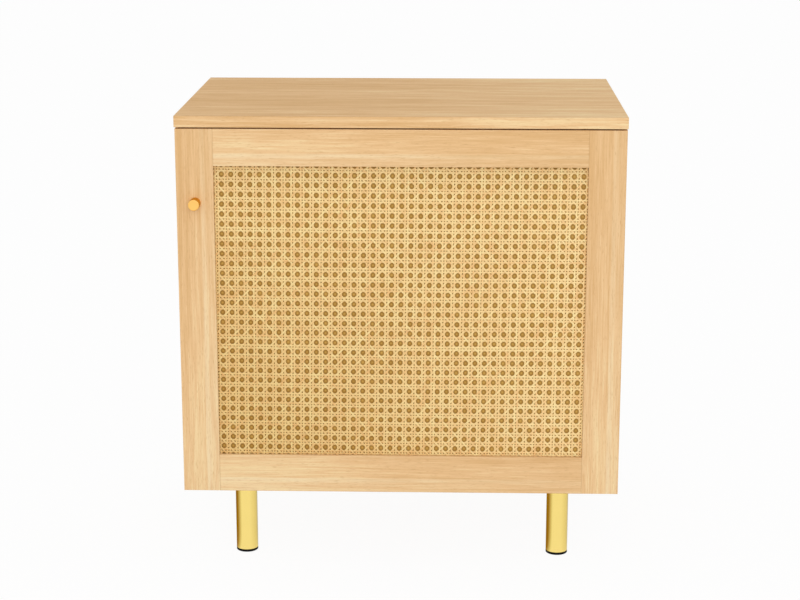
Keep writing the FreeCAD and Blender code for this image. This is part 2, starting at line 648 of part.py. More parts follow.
def catch():
    """Magnetic catch inside the left side panel, and two bumpers on its front edge."""
    low_z = "catch_z - catch_height / 2"
    face = "0 - inner_half"
    shell = box("catch_shell", ("catch_width", "catch_depth", "catch_height"),
                (face, "catch_y", low_z))
    pocket = box("catch_pocket",
                 ("catch_width - 2 * catch_wall", "catch_depth - catch_wall", "magnet_height"),
                 ("catch_wall - inner_half", "catch_y", low_z + " + catch_ear"))
    holes, screws = [], []
    for sign in "+-":
        tag = "above" if sign == "+" else "below"
        z = "catch_z %s (catch_height - catch_ear) / 2" % sign
        seat = ("small_screw_head - inner_half", "catch_y + catch_depth / 2", z)
        holes += [
            rod("catch_hole_" + tag, "small_screw_radius", "catch_width", (face,) + seat[1:], "+x"),
            rod("catch_sink_" + tag, "small_screw_head_radius + small_screw_head_play",
                "catch_width", seat, "+x")]
        head = rod("catch_head_" + tag, "small_screw_head_radius", "small_screw_head", seat, "+x")
        shank = rod("catch_shank_" + tag, "small_screw_radius",
                    "small_screw_bite + small_screw_head", seat, "-x")
        screws.append(fuse("catch_screw_" + tag, [head, shank]))
    sub_part("catch_housing", cut("catch_case", shell, [pocket] + holes))
    sub_part("catch_magnet",
             box("catch_block",
                 ("catch_width - 2 * catch_wall", "catch_y + catch_depth - catch_wall"
                  " - magnet_front", "magnet_height"),
                 ("catch_wall - inner_half", "magnet_front", low_z + " + catch_ear")))
    sub_part("catch_screws", group("catch_screw_set", screws))
    middle = "sheet_thick / 2 - half_width"
    spots = {"upper": "top_under - bumper_inset", "lower": "leg_height + bumper_inset"}
    pads = [rod("bumper_" + level, "bumper_radius", "bumper_length",
                (middle, "cabinet_front", z), "-y") for level, z in spots.items()]
    sub_part("door_bumpers", group("bumper_set", pads))


# ---------------------------------------------------------------------------------------------
# Door
# ---------------------------------------------------------------------------------------------


def frame_dowel_spots():
    """Name, x of the joint, z and the way into the rail, for each dowel of the door frame."""
    spots = []
    for side, minus, inward, outward in SIDES:
        for rail, first, sign in (("top", "door_top", "-"), ("bottom", "door_bottom", "+")):
            for number in range(2):
                z = "%s %s (frame_dowel_edge + %d * frame_dowel_pitch)" % (first, sign, number)
                spots.append((side, rail, number, "%sopen_half" % minus, z, inward, outward))
    return spots


def door_frame():
    """Two stiles, two rails, their dowels, the backing board and four beads."""
    mid_y = "front + door_thick / 2"
    stile_tools = {"left": [], "right": []}
    rail_tools = {"top": [], "bottom": []}
    dowels = []
    for side, rail, number, x, z, inward, outward in frame_dowel_spots():
        tag = "%s_%s_%d" % (rail, side, number)
        half = "frame_dowel_length / 2"
        stile_tools[side].append(
            rod("stile_bore_" + tag, "frame_dowel_radius", half, (x, mid_y, z), outward))
        rail_tools[rail].append(
            rod("rail_bore_" + tag, "frame_dowel_radius", half, (x, mid_y, z), inward))
        shift = "+" if outward == "+x" else "-"
        dowels.append(rod("frame_dowel_" + tag, "frame_dowel_radius", "frame_dowel_length",
                          ("%s %s %s" % (x, shift, half), mid_y, z), inward))
    sub_part("frame_dowels", group("frame_dowel_set", dowels))

    for side, minus, inward, outward in SIDES:
        low_x = "0 - door_half" if minus else "open_half"
        rebate_x = "0 - open_half - rebate_width" if minus else "open_half"
        blank = padded("stile_blank_" + side, "XY_Plane", [
            ("0", "0"), ("stile_width", "0"), ("stile_width", "door_thick"), ("0", "door_thick")],
            "door_height", (low_x, "front", "door_bottom"))
        stile_tools[side].append(
            box("stile_rebate_" + side, ("rebate_width", "rebate_depth", "rebate_height"),
                (rebate_x, "cane_front", "open_bottom - rebate_width")))
        if side == "right":
            stile_tools[side] += cup_bores()
        else:
            stile_tools[side] += knob_bores()
        sub_part("door_stile_" + side, cut("stile_" + side, blank, stile_tools[side]))

    rebate = "door_thick - rebate_depth"
    shapes = {
        "top": ("top_rail_height", "open_top", [
            ("0", "0"), (rebate, "0"), (rebate, "rebate_width"), ("door_thick", "rebate_width"),
            ("door_thick", "top_rail_height"), ("0", "top_rail_height")]),
        "bottom": ("bottom_rail_height", "door_bottom", [
            ("0", "0"), ("door_thick", "0"),
            ("door_thick", "bottom_rail_height - rebate_width"),
            (rebate, "bottom_rail_height - rebate_width"), (rebate, "bottom_rail_height"),
            ("0", "bottom_rail_height")]),
    }
    for rail, (height, low_z, points) in shapes.items():
        blank = padded("rail_blank_" + rail, "YZ_Plane", points, "2 * open_half",
                       ("0 - open_half", "front", low_z))
        sub_part("door_rail_" + rail, cut("rail_" + rail, blank, rail_tools[rail]))

    sub_part("panel_backing",
             box("backing_board", ("2 * panel_half", "backing_thick", "panel_height"),
                 ("0 - panel_half", "backing_front", "panel_bottom")))


def beads():
    """Strips that hold the panel in its rebate, bevelled on their inner back corner."""
    width = "rebate_width"
    depth = "bead_thick"
    sections = {
        "left": [("0", "0"), (width, "0"), (width, depth + " - bead_chamfer"),
                 (width + " - bead_chamfer", depth), ("0", depth)],
        "right": [("0", "0"), (width, "0"), (width, depth), ("bead_chamfer", depth),
                  ("0", depth + " - bead_chamfer")],
    }
    for side, minus, inward, outward in SIDES:
        low_x = "0 - open_half - rebate_width" if minus else "open_half"
        sub_part("panel_bead_" + side,
                 padded("bead_" + side, "XY_Plane", sections[side], "rebate_height",
                        (low_x, "bead_front", "open_bottom - rebate_width")))
    levels = {
        "bottom": ("open_bottom - rebate_width", [
            ("0", "0"), (depth, "0"), (depth, width + " - bead_chamfer"),
            (depth + " - bead_chamfer", width), ("0", width)]),
        "top": ("open_top", [
            ("0", "0"), (depth + " - bead_chamfer", "0"), (depth, "bead_chamfer"),
            (depth, width), ("0", width)]),
    }
    for level, (low_z, points) in levels.items():
        sub_part("panel_bead_" + level,
                 padded("bead_" + level, "YZ_Plane", points, "2 * open_half",
                        ("0 - open_half", "bead_front", low_z)))


def clip(points, axis, limit, keep_above):
    """The part of a flat outline on one side of a line across X (axis 0) or Z (axis 1)."""
    kept = []
    for index, here in enumerate(points):
        before = points[index - 1]
        inside = (here[axis] >= limit) == keep_above
        was_inside = (before[axis] >= limit) == keep_above
        if inside != was_inside:
            share = (limit - before[axis]) / (here[axis] - before[axis])
            kept.append(tuple(b + share * (h - b) for b, h in zip(before, here)))
        if inside:
            kept.append(here)
    return kept


def strand(point, heading, width, limits, y, thick):
    """One flat strand through a point, trimmed to the panel; None where it misses the panel."""
    length = (heading[0] ** 2 + heading[1] ** 2) ** 0.5
    along = (heading[0] / length, heading[1] / length)
    half = width / 2
    far = 2 * (limits[2] - limits[0])
    corners = []
    for side, end in ((-half, -far), (half, -far), (half, far), (-half, far)):
        corners.append((point[0] - side * along[1] + end * along[0],
                        point[1] + side * along[0] + end * along[1]))
    for axis, limit, keep_above in ((0, limits[0], True), (0, limits[2], False),
                                    (1, limits[1], True), (1, limits[3], False)):
        corners = clip(corners, axis, limit, keep_above)
        if len(corners) < 3:
            return None
    outline = [VECTOR(x, y, z) for x, z in corners]
    face = Part.Face(Part.makePolygon(outline + outline[:1]))
    if face.Area < width * width:
        return None
    return face.extrude(VECTOR(0, thick, 0))


def cane():
    """Four runs of flat strands: two slanting ones in front, then the upright and level pairs."""
    across = (amount("cane_pitch_x"), amount("cane_lean_z"))
    upward = (amount("cane_lean_x"), amount("cane_pitch_z"))
    middle = (amount("cane_hole_x"),
              amount("(open_bottom + open_top) / 2 + cane_hole_z"))
    edge = amount("panel_half")
    low = amount("panel_bottom")
    limits = (-edge, low, edge, low + amount("panel_height"))
    thick = amount("cane_strand_thick")
    pair = amount("cane_pair_half")
    reach_x = int(2 * edge / across[0])
    reach_z = int(amount("panel_height") / upward[1])
    slant_reach = reach_x + reach_z

    def step(base, vector, share):
        return (base[0] + vector[0] * share, base[1] + vector[1] * share)

    runs = {
        "cane_slant_rising": [(step(middle, across, index + 0.5),
                               (across[0] + upward[0], across[1] + upward[1]), "cane_slant_width")
                              for index in range(-slant_reach, slant_reach)],
        "cane_slant_falling": [(step(middle, across, index + 0.5),
                                (across[0] - upward[0], across[1] - upward[1]), "cane_slant_width")
                               for index in range(-slant_reach, slant_reach)],
        "cane_upright_pairs": [(step(middle, across, index + 0.5 + side * pair / across[0]),
                                upward, "cane_strand_width")
                               for index in range(-reach_x, reach_x) for side in (-1, 1)],
        "cane_level_pairs": [(step(middle, upward, index + 0.5 + side * pair / upward[1]),
                              across, "cane_strand_width")
                             for index in range(-reach_z, reach_z) for side in (-1, 1)],
    }
    for layer, (name, lines) in enumerate(runs.items()):
        y = amount("cane_front + %d * cane_layer" % layer)
        strands = [strand(point, heading, amount(width), limits, y, thick)
                   for point, heading, width in lines]
        item = doc.addObject("Part::Feature", name)
        item.Shape = Part.makeCompound([each for each in strands if each])
        sub_part(name, item)


def knob_bores():
    """Hole for the knob's screw and for the screw of the strike plate."""
    return [
        rod("bore_knob", "knob_screw_radius", "door_thick", ("knob_x", "front", "knob_z"), "+y"),
        rod("bore_strike", "small_screw_radius", "strike_screw_bite",
            ("catch_width / 2 - inner_half", "door_back", "catch_z"), "-y"),
    ]


def knob():
    """Turned knob, its screw from behind, and the steel strike plate for the catch."""
    sub_part("knob", turned("knob_body", [
        ("knob_screw_radius", "0"), ("knob_radius", "0"),
        ("knob_radius", "knob_reach - knob_edge"), ("knob_radius - knob_edge", "knob_reach"),
        ("0", "knob_reach"), ("0", "knob_screw_bite"), ("knob_screw_radius", "knob_screw_bite")],
        ("knob_x", "front", "knob_z"), "-y"))
    sub_part("knob_screw", screw(
        "knob_fixing", "knob_screw_radius", "door_thick + knob_screw_bite",
        "knob_screw_head_radius", "knob_screw_head", ("knob_x", "door_back", "knob_z"), "-y"))
    plate = box("strike_blank", ("catch_width - catch_wall", "strike_thick", "strike_height"),
                ("catch_wall / 2 - inner_half", "door_back", "catch_z - strike_height / 2"))
    hole = rod("strike_hole", "small_screw_radius", "strike_thick",
               ("catch_width / 2 - inner_half", "door_back", "catch_z"), "+y")
    sink = rod("strike_sink", "small_screw_head_radius", "strike_sink",
               ("catch_width / 2 - inner_half", "door_back + strike_thick - strike_sink", "catch_z"), "+y")
    sub_part("strike_plate", cut("strike", plate, [hole, sink]))
    seat = ("catch_width / 2 - inner_half", "door_back + strike_thick - strike_sink", "catch_z")
    sub_part("strike_screw", screw(
        "strike_fixing", "small_screw_radius", "strike_screw_bite + strike_thick - strike_sink",
        "small_screw_head_radius", "strike_sink", seat, "-y"))


# ---------------------------------------------------------------------------------------------
# Hinges: a fixed arm on the side panel, one link, and a cup let into the door
# ---------------------------------------------------------------------------------------------


def cup_bores():
    """Bores in the hinged stile for both cups and their screws."""
    tools = []
    for level in ("upper", "lower"):
        z = "hinge_%s_z" % level
        tools.append(rod("cup_bore_" + level, "cup_radius", "cup_depth",
                         ("door_half - cup_across", "door_back", z), "-y"))
        for sign in "+-":
            tag = "%s_%s" % (level, "above" if sign == "+" else "below")
            tools.append(rod("cup_screw_bore_" + tag, "cup_screw_radius", "cup_screw_bite",
                             ("door_half - cup_ear_across", "door_back",
                              "%s %s cup_screw_half" % (z, sign)), "-y"))
    return tools


def hinge_cup(level):
    """Cup with two lugs for the pivot pin and a screw flange."""
    tag = "cup_%s" % level
    rim = "0 - door_gap"
    shell = rod(tag + "_shell", "cup_radius", "cup_depth", ("0 - cup_across", rim, "0"), "-y")
    ear = box(tag + "_ear", ("cup_ear_width", "cup_ear_thick", "2 * cup_ear_half"),
              ("0 - cup_ear_across - cup_ear_width / 2", rim, "0 - cup_ear_half"))
    outside = fuse(tag + "_outside", [shell, ear])
    hollow = rod(tag + "_hollow", "cup_radius - cup_wall",
                 "cup_depth - cup_floor + cup_ear_thick",
                 ("0 - cup_across", rim + " + cup_ear_thick", "0"), "-y")
    holes = [rod(tag + "_hole_" + name, "cup_screw_radius", "cup_ear_thick",
                 ("0 - cup_ear_across", rim, sign + " cup_screw_half"), "+y")
             for name, sign in (("above", "0 +"), ("below", "0 -"))]
    bowl = cut(tag + "_bowl", outside, [hollow] + holes)
    lugs = [box(tag + "_lug_" + name,
                ("2 * knuckle_radius", "lug_front_y - cup_floor_y", "lug_thick"),
                ("0 - cup_pivot_across - knuckle_radius", "cup_floor_y", low_z))
            for name, low_z in (("above", "lug_inner"), ("below", "0 - lug_outer"))]
    whole = fuse(tag + "_whole", [bowl] + lugs)
    eye = rod(tag + "_eye", "hinge_pin_radius", "2 * lug_outer",
              ("0 - cup_pivot_across", "0 - pivot_ahead", "0 - lug_outer"), "+z")
    return cut(tag, whole, [eye])


def hinge_link(level):
    """Two flat bars with an eye at each end, joined by a web."""
    tag = "link_%s" % level
    y = "0 - pivot_ahead"
    pieces, eyes = [], []
    for name, low_z in (("above", "link_inner"), ("below", "0 - link_outer")):
        pieces.append(box("%s_bar_%s" % (tag, name),
                          ("arm_pivot_across - cup_pivot_across", "2 * link_half_width",
                           "link_plate"),
                          ("0 - arm_pivot_across", y + " - link_half_width", low_z)))
        for end in ("arm", "cup"):
            x = "0 - %s_pivot_across" % end
            pieces.append(rod("%s_eye_%s_%s" % (tag, end, name), "knuckle_radius", "link_plate",
                              (x, y, low_z), "+z"))
    pieces.append(box(tag + "_web", ("link_web_length", "link_plate", "2 * link_outer"),
                      ("link_web_start - arm_pivot_across", y + " - link_plate / 2",
                       "0 - link_outer")))
    for end in ("arm", "cup"):
        eyes.append(rod("%s_bore_%s" % (tag, end), "eye_radius", "2 * link_outer",
                        ("0 - %s_pivot_across" % end, y, "0 - link_outer"), "+z"))
    return cut(tag, fuse(tag + "_blank", pieces), eyes)


def hinge_arm(level):
    """A channel over the mounting plate, with a nose that dips into the cup."""
    tag = "arm_%s" % level
    height = "mount_top - arm_inner"
    channel = box(tag + "_channel", (height, "arm_back - arm_front", "2 * arm_half"),
                  ("arm_inner", "arm_front", "0 - arm_half"))
    inside = box(tag + "_inside",
                 (height + " - arm_wall", "arm_back - arm_front", "2 * (arm_half - arm_wall)"),
                 ("arm_inner + arm_wall", "arm_front", "arm_wall - arm_half"))
    nose = box(tag + "_nose", ("2 * knuckle_radius", "nose_root + pivot_ahead", "2 * nose_half"),
               ("arm_inner", "0 - pivot_ahead", "0 - nose_half"))
    tip = rod(tag + "_tip", "knuckle_radius", "2 * nose_half",
              ("0 - arm_pivot_across", "0 - pivot_ahead", "0 - nose_half"), "+z")
    whole = fuse(tag + "_whole", [cut(tag + "_shell", channel, [inside]), nose, tip])
    eye = rod(tag + "_eye", "hinge_pin_radius", "2 * nose_half",
              ("0 - arm_pivot_across", "0 - pivot_ahead", "0 - nose_half"), "+z")
    hole = rod(tag + "_hole", "arm_screw_radius", "arm_wall", ("arm_inner", "arm_screw_back", "0"),
               "+x")
    return cut(tag, whole, [eye, hole])


def hinge_mount(level):
    """Cross-shaped plate on the side panel."""
    tag = "mount_%s" % level
    spine = box(tag + "_spine", ("mount_thick", "arm_back - mount_front", "2 * arm_half"),
                ("mount_top", "mount_front", "0 - arm_half"))
    wings = box(tag + "_wings",
                ("mount_thick", "mount_wing_back - mount_wing_front", "2 * mount_wing_half"),
                ("mount_top", "mount_wing_front", "0 - mount_wing_half"))
    middle = "(mount_wing_front + mount_wing_back) / 2"
    holes = [rod(tag + "_hole_" + name, "mount_screw_radius", "mount_thick",
                 ("mount_top", middle, sign + " mount_screw_half"), "+x")
             for name, sign in (("above", "0 +"), ("below", "0 -"))]
    holes.append(rod(tag + "_thread", "arm_screw_radius", "mount_thick",
                     ("mount_top", "arm_screw_back", "0"), "+x"))
    return cut(tag, fuse(tag + "_blank", [spine, wings]), holes)


def hinges():
    """Both hinges: arm, plate and screws on the cabinet, link between, cup on the door."""
    arm_pins, cup_pins, mount_screws, arm_screws, cup_screws = [], [], [], [], []
    for level in ("upper", "lower"):
        origin_z = "hinge_%s_z" % level
        origin = ("door_half", "cabinet_front", origin_z)
        for name, make in (("hinge_cup_", hinge_cup), ("hinge_link_", hinge_link),
                           ("hinge_arm_", hinge_arm), ("hinge_mount_", hinge_mount)):
            item = make(level)
            place(item, origin)
            sub_part(name + level, item)
        pin_y = "cabinet_front - pivot_ahead"
        arm_pins.append(rod("arm_pin_" + level, "hinge_pin_radius",
                            "2 * (link_outer + link_side_play)",
                            ("door_half - arm_pivot_across", pin_y,
                             origin_z + " - link_outer - link_side_play"), "+z"))
        cup_pins.append(rod("cup_pin_" + level, "hinge_pin_radius", "2 * lug_outer",
                            ("door_half - cup_pivot_across", pin_y, origin_z + " - lug_outer"),
                            "+z"))
        for sign in "+-":
            tag = "%s_%s" % (level, "above" if sign == "+" else "below")
            seat = ("door_half + mount_top",
                    "cabinet_front + (mount_wing_front + mount_wing_back) / 2",
                    "%s %s mount_screw_half" % (origin_z, sign))
            mount_screws.append(screw("mount_screw_" + tag, "mount_screw_radius",
                                      "mount_screw_bite", "mount_screw_head_radius",
                                      "mount_screw_head", seat, "+x"))
            seat = ("door_half - cup_ear_across", "door_back + cup_ear_thick",
                    "%s %s cup_screw_half" % (origin_z, sign))
            cup_screws.append(screw("cup_screw_" + tag, "cup_screw_radius",
                                    "cup_screw_bite + cup_ear_thick", "cup_screw_head_radius",
                                    "cup_screw_head", seat, "-y"))
        seat = ("door_half + arm_inner", "cabinet_front + arm_screw_back", origin_z)
        arm_screws.append(screw("arm_screw_" + level, "arm_screw_radius",
                                "mount_top - arm_inner + mount_thick", "arm_screw_head_radius",
                                "arm_screw_head", seat, "+x"))
    sub_part("hinge_arm_pins", group("arm_pin_set", arm_pins))
    sub_part("hinge_cup_pins", group("cup_pin_set", cup_pins))
    sub_part("hinge_mount_screws", group("mount_screw_set", mount_screws))
    sub_part("hinge_arm_screws", group("arm_screw_set", arm_screws))
    sub_part("hinge_cup_screws", group("cup_screw_set", cup_screws))


def check_model():
    """Stop where an object has an error or a sub-part has no sound shape."""
    for item in doc.Objects:
        if "Invalid" in item.State or "Error" in item.State:
            raise RuntimeError("%s: %s" % (item.Name, item.State))
    for name, item in parts.items():
        if item.Shape.isNull() or not item.Shape.isValid():
            raise RuntimeError("%s has no sound shape" % name)


def write_parts():
    os.makedirs("parts", exist_ok=True)
    for name, item in parts.items():
        item.Shape.exportStep("parts/%s.step" % name)


fill_sheet()
cabinet()
legs()
catch()
door_frame()
beads()
cane()
knob()
hinges()
doc.recompute()
check_model()
write_parts()
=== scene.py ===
"""Looks of a storage side table with one cane-fronted door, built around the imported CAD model."""

import logging
import math
from dataclasses import dataclass, field
from enum import Enum
from typing import Any, Callable, Iterable

import bpy
import numpy as np
from mathutils import Matrix, Vector


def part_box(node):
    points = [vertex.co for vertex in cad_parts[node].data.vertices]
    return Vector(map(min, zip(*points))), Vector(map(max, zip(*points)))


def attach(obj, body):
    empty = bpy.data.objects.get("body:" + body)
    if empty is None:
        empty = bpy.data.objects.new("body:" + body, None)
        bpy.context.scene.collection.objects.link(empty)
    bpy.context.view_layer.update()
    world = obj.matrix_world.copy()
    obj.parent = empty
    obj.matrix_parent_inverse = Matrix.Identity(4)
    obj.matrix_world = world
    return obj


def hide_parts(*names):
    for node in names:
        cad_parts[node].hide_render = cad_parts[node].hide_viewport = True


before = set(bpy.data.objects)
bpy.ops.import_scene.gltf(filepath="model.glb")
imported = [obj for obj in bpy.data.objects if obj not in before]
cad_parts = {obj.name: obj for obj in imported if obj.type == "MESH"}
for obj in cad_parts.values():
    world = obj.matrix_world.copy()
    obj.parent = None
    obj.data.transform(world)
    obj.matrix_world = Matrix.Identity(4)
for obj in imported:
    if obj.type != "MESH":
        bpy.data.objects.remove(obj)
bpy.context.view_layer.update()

LOG = logging.getLogger("side_table")
MM = 0.001
# Most values of a noise lie between these two.
NOISE_RANGE = (0.3, 0.7)

Colour = tuple[float, float, float]
Points = tuple[tuple[float, float], ...]
Triple = tuple[float, float, float]
Array = np.ndarray
Socket = bpy.types.NodeSocket


def srgb(code: str) -> Colour:
    """Turn six hex digits of sRGB into linear red, green and blue from 0 to 1."""
    shares = [int(code[i:i + 2], 16) / 255 for i in (0, 2, 4)]
    return tuple(s / 12.92 if s <= 0.04045 else ((s + 0.055) / 1.055) ** 2.4 for s in shares)


WHITE = srgb("FFFFFF")


def put(name: str, data: bpy.types.ID, place: Matrix | None = None) -> bpy.types.Object:
    """Put a mesh, a lamp or a camera into the scene.

    Args:
        name: Name of the new object.
        data: What it shows.
        place: Where it stands; at the origin when left out.

    Returns:
        The object.
    """
    thing = bpy.data.objects.new(name, data)
    if place is not None:
        thing.matrix_world = place
    bpy.context.scene.collection.objects.link(thing)
    return thing


class Axis(Enum):
    """Direction of a board's grain in the row frame."""

    X = 0
    Y = 1
    Z = 2

    def sizes(self, along: float, across: float) -> Triple:
        """Sizes along X, Y and Z of a streak so long along this axis and so wide across it."""
        return tuple(along if axis == self else across for axis in Axis)


# ------------------------------------------------------------------------------------------
# Materials
# ------------------------------------------------------------------------------------------


class Graph:
    """Node tree of a material or of the surroundings, with one way to add a node."""

    def __init__(self, name: str, note: str, world: bool = False) -> None:
        """Start a material or a world with an empty tree.

        Args:
            name: The real material's name.
            note: What it gives the eye.
            world: Whether it is a world.
        """
        self.owner = (bpy.data.worlds if world else bpy.data.materials).new(name)
        self.owner.use_nodes = True
        self.owner["note"] = note
        self.tree = self.owner.node_tree
        self.tree.nodes.clear()

    def add(self, kind: str, *inputs: Any, output: str = "", **named: Any) -> Socket | None:
        """Add a node, set its properties and inputs, and link its sockets.

        Args:
            kind: The node's type, without the ShaderNode at its start.
            inputs: Numbers, colours or sockets for the inputs that the node shows, in order.
            output: Name of the wanted output; the first one shown when left out.
            named: Properties in small letters, and inputs by their names with _ for a space.

        Returns:
            The wanted output's socket.
        """
        node = self.tree.nodes.new("ShaderNode" + kind)
        for key in filter(str.islower, named):
            setattr(node, key, named[key])
        values = list(zip([socket for socket in node.inputs if socket.enabled], inputs))
        values += [(node.inputs[key.replace("_", " ")], value)
                   for key, value in named.items() if not key.islower()]
        for socket, value in values:
            if isinstance(value, Socket):
                self.tree.links.new(value, socket)
            elif socket.type == "RGBA":
                socket.default_value = (*value, 1.0)
            else:
                socket.default_value = value
        if output:
            return node.outputs[output]
        return next((socket for socket in node.outputs if socket.enabled), None)

    def here(self) -> list[Socket]:
        """X, Y and Z of a point, in the object's own metres."""
        return list(self.add("SeparateXYZ", self.add("TexCoord", output="Object")).node.outputs)

    def swing(self, noise: Socket, weight: float, base: Any) -> Socket:
        """Add to a base value a noise's swing around its middle, 0.5, times a weight."""
        deviation = self.add("Math", noise, 0.5, operation="SUBTRACT")
        return self.add("Math", deviation, weight, base, operation="MULTIPLY_ADD")

    def vary(self, noise: Socket, middle: float, reach: float) -> Socket:
        """Let a quality go up and down with a noise, by a reach to either side of its middle."""
        return self.add("MapRange", noise, *NOISE_RANGE, middle - reach, middle + reach)

    def line(self, place: Socket, points: Points) -> Socket:
        """Follow a broken line through points; it is level beyond its ends.

        Args:
            place: Socket with the place.
            points: Place and value of each point, in rising order of place.

        Returns:
            The line's value at that place.
        """
        total: Any = points[0][1]
        for (start, low), (end, high) in zip(points, points[1:]):
            step = self.add("MapRange", place, start, end, 0.0, high - low)
            total = self.add("Math", total, step, operation="ADD")
        return total

    def grade(self, place: Socket, stops: Iterable[tuple[float, Colour]]) -> Socket:
        """Follow a row of colours; it is even beyond its ends.

        Args:
            place: Socket with the place in the row.
            stops: Place and colour of each stop, in rising order of place.

        Returns:
            The colour at that place.
        """
        (start, colour), *others = stops
        for end, further in others:
            share = self.add("MapRange", place, start, end)
            colour = self.add("Mix", share, colour, further, data_type="RGBA")
            start = end
        return colour

    def relief(self, height: Socket, depth: float, edge: float = 0.0) -> Socket:
        """Normal of a relief of that depth, with edges of that radius, both in millimetres."""
        soft = {"Normal": self.add("Bevel", edge * MM, samples=4)} if edge else {}
        return self.add("Bump", Height=height, Strength=1.0, Distance=depth * MM, **soft)

    def finish(self, **shader: Any) -> bpy.types.Material:
        """Close the tree with a Principled shader that has these inputs; _ stands for a space."""
        self.add("OutputMaterial", self.add("BsdfPrincipled", **shader))
        return self.owner


@dataclass(frozen=True)
class Pattern:
    """Noise whose grains have a real size.

    Attributes:
        size: Size of one grain along X, Y and Z, in millimetres.
        detail: Octaves added.
        rough: Strength of the finer octaves.
        shift: Offset of the pattern, in grains.
    """

    size: Triple
    detail: float = 2.0
    rough: float = 0.5
    shift: Triple = (0.0, 0.0, 0.0)

    def lay(self, graph: Graph, place: Socket | None = None) -> Socket:
        """Lay the pattern over an object.

        Args:
            graph: Node tree to add to.
            place: Coordinates in metres; the object's own when left out.

        Returns:
            A value around 0.5.
        """
        if place is None:
            place = graph.add("TexCoord", output="Object")
        grains = graph.add("Mapping", Vector=place, Location=self.shift,
                           Scale=tuple(1 / (s * MM) for s in self.size))
        return graph.add("TexNoise", Vector=grains, Scale=1.0, Detail=self.detail,
                         Roughness=self.rough)


@dataclass(frozen=True)
class ToneMap:
    """Slow change of a board's tone along and across its grain, and its pale streak.

    Attributes:
        end: Place of the board's first end along the grain, in metres.
        along: Distance from that end in millimetres and change of tone, in rising order.
        side: Direction across the grain.
        edge: Place of the board's first edge across the grain, in metres.
        way: 1 where the board lies on the high side of that edge, -1 where on the low side.
        across: Distance from that edge in millimetres and change of tone, in rising order.
        streak: Distance of the pale streak from that edge in millimetres; 0 without one.
        profile: Distance from the streak's place in millimetres and strength of the streak.
        fade: Distance from the first end in millimetres and strength of the streak.
        patch: Length and width in millimetres of the patches in which the streak comes and goes.
        pale: Colour of the streak.
    """

    end: float
    along: Points
    side: Axis
    edge: float
    way: int
    across: Points
    streak: float = 0.0
    profile: Points = ((-4, 0.0), (-1.5, 1.15), (1, 1.1), (5, 0.34))
    fade: Points = ((50, 0.34), (250, 0.24), (450, 0.14))
    patch: tuple[float, float] = (45.0, 3.0)
    pale: str = "F6E6C0"

    def distances(self, graph: Graph, grain: Axis) -> list[Socket]:
        """Measure a point's distances from the board's first end and first edge.

        Args:
            graph: Node tree to add to.
            grain: Direction of the grain.

        Returns:
            Both distances in millimetres.
        """
        here = graph.here()
        places = ((grain, self.end, 1), (self.side, self.edge, self.way))
        return [graph.add("Math", here[axis.value], way / MM, -way * start / MM,
                          operation="MULTIPLY_ADD") for axis, start, way in places]

    def shift(self, graph: Graph, grain: Axis) -> Socket:
        """Change of tone at a point: the sum of the changes along and across."""
        along, across = self.distances(graph, grain)
        return graph.add("Math", graph.line(along, self.along), graph.line(across, self.across),
                         operation="ADD")

    def paint(self, graph: Graph, grain: Axis, colour: Socket) -> Socket:
        """Lay the pale streak over a colour.

        It starts sharply, and beyond it the board stays a little paler.  Along the grain it comes
        and goes, and it is weaker far from the board's first end.

        Args:
            graph: Node tree to add to.
            grain: Direction of the grain.
            colour: The colour without the streak.

        Returns:
            The colour with the streak.
        """
        if not self.streak:
            return colour
        along, across = self.distances(graph, grain)
        share = graph.line(across, tuple((self.streak + away, level)
                                         for away, level in self.profile))
        noise = Pattern(grain.sizes(*self.patch), rough=0.6).lay(graph)
        patchy = graph.vary(noise, middle=0.95, reach=0.45)
        for factor in (graph.line(along, self.fade), patchy):
            share = graph.add("Math", share, factor, operation="MULTIPLY")
        return graph.add("Mix", share, colour, srgb(self.pale), data_type="RGBA")


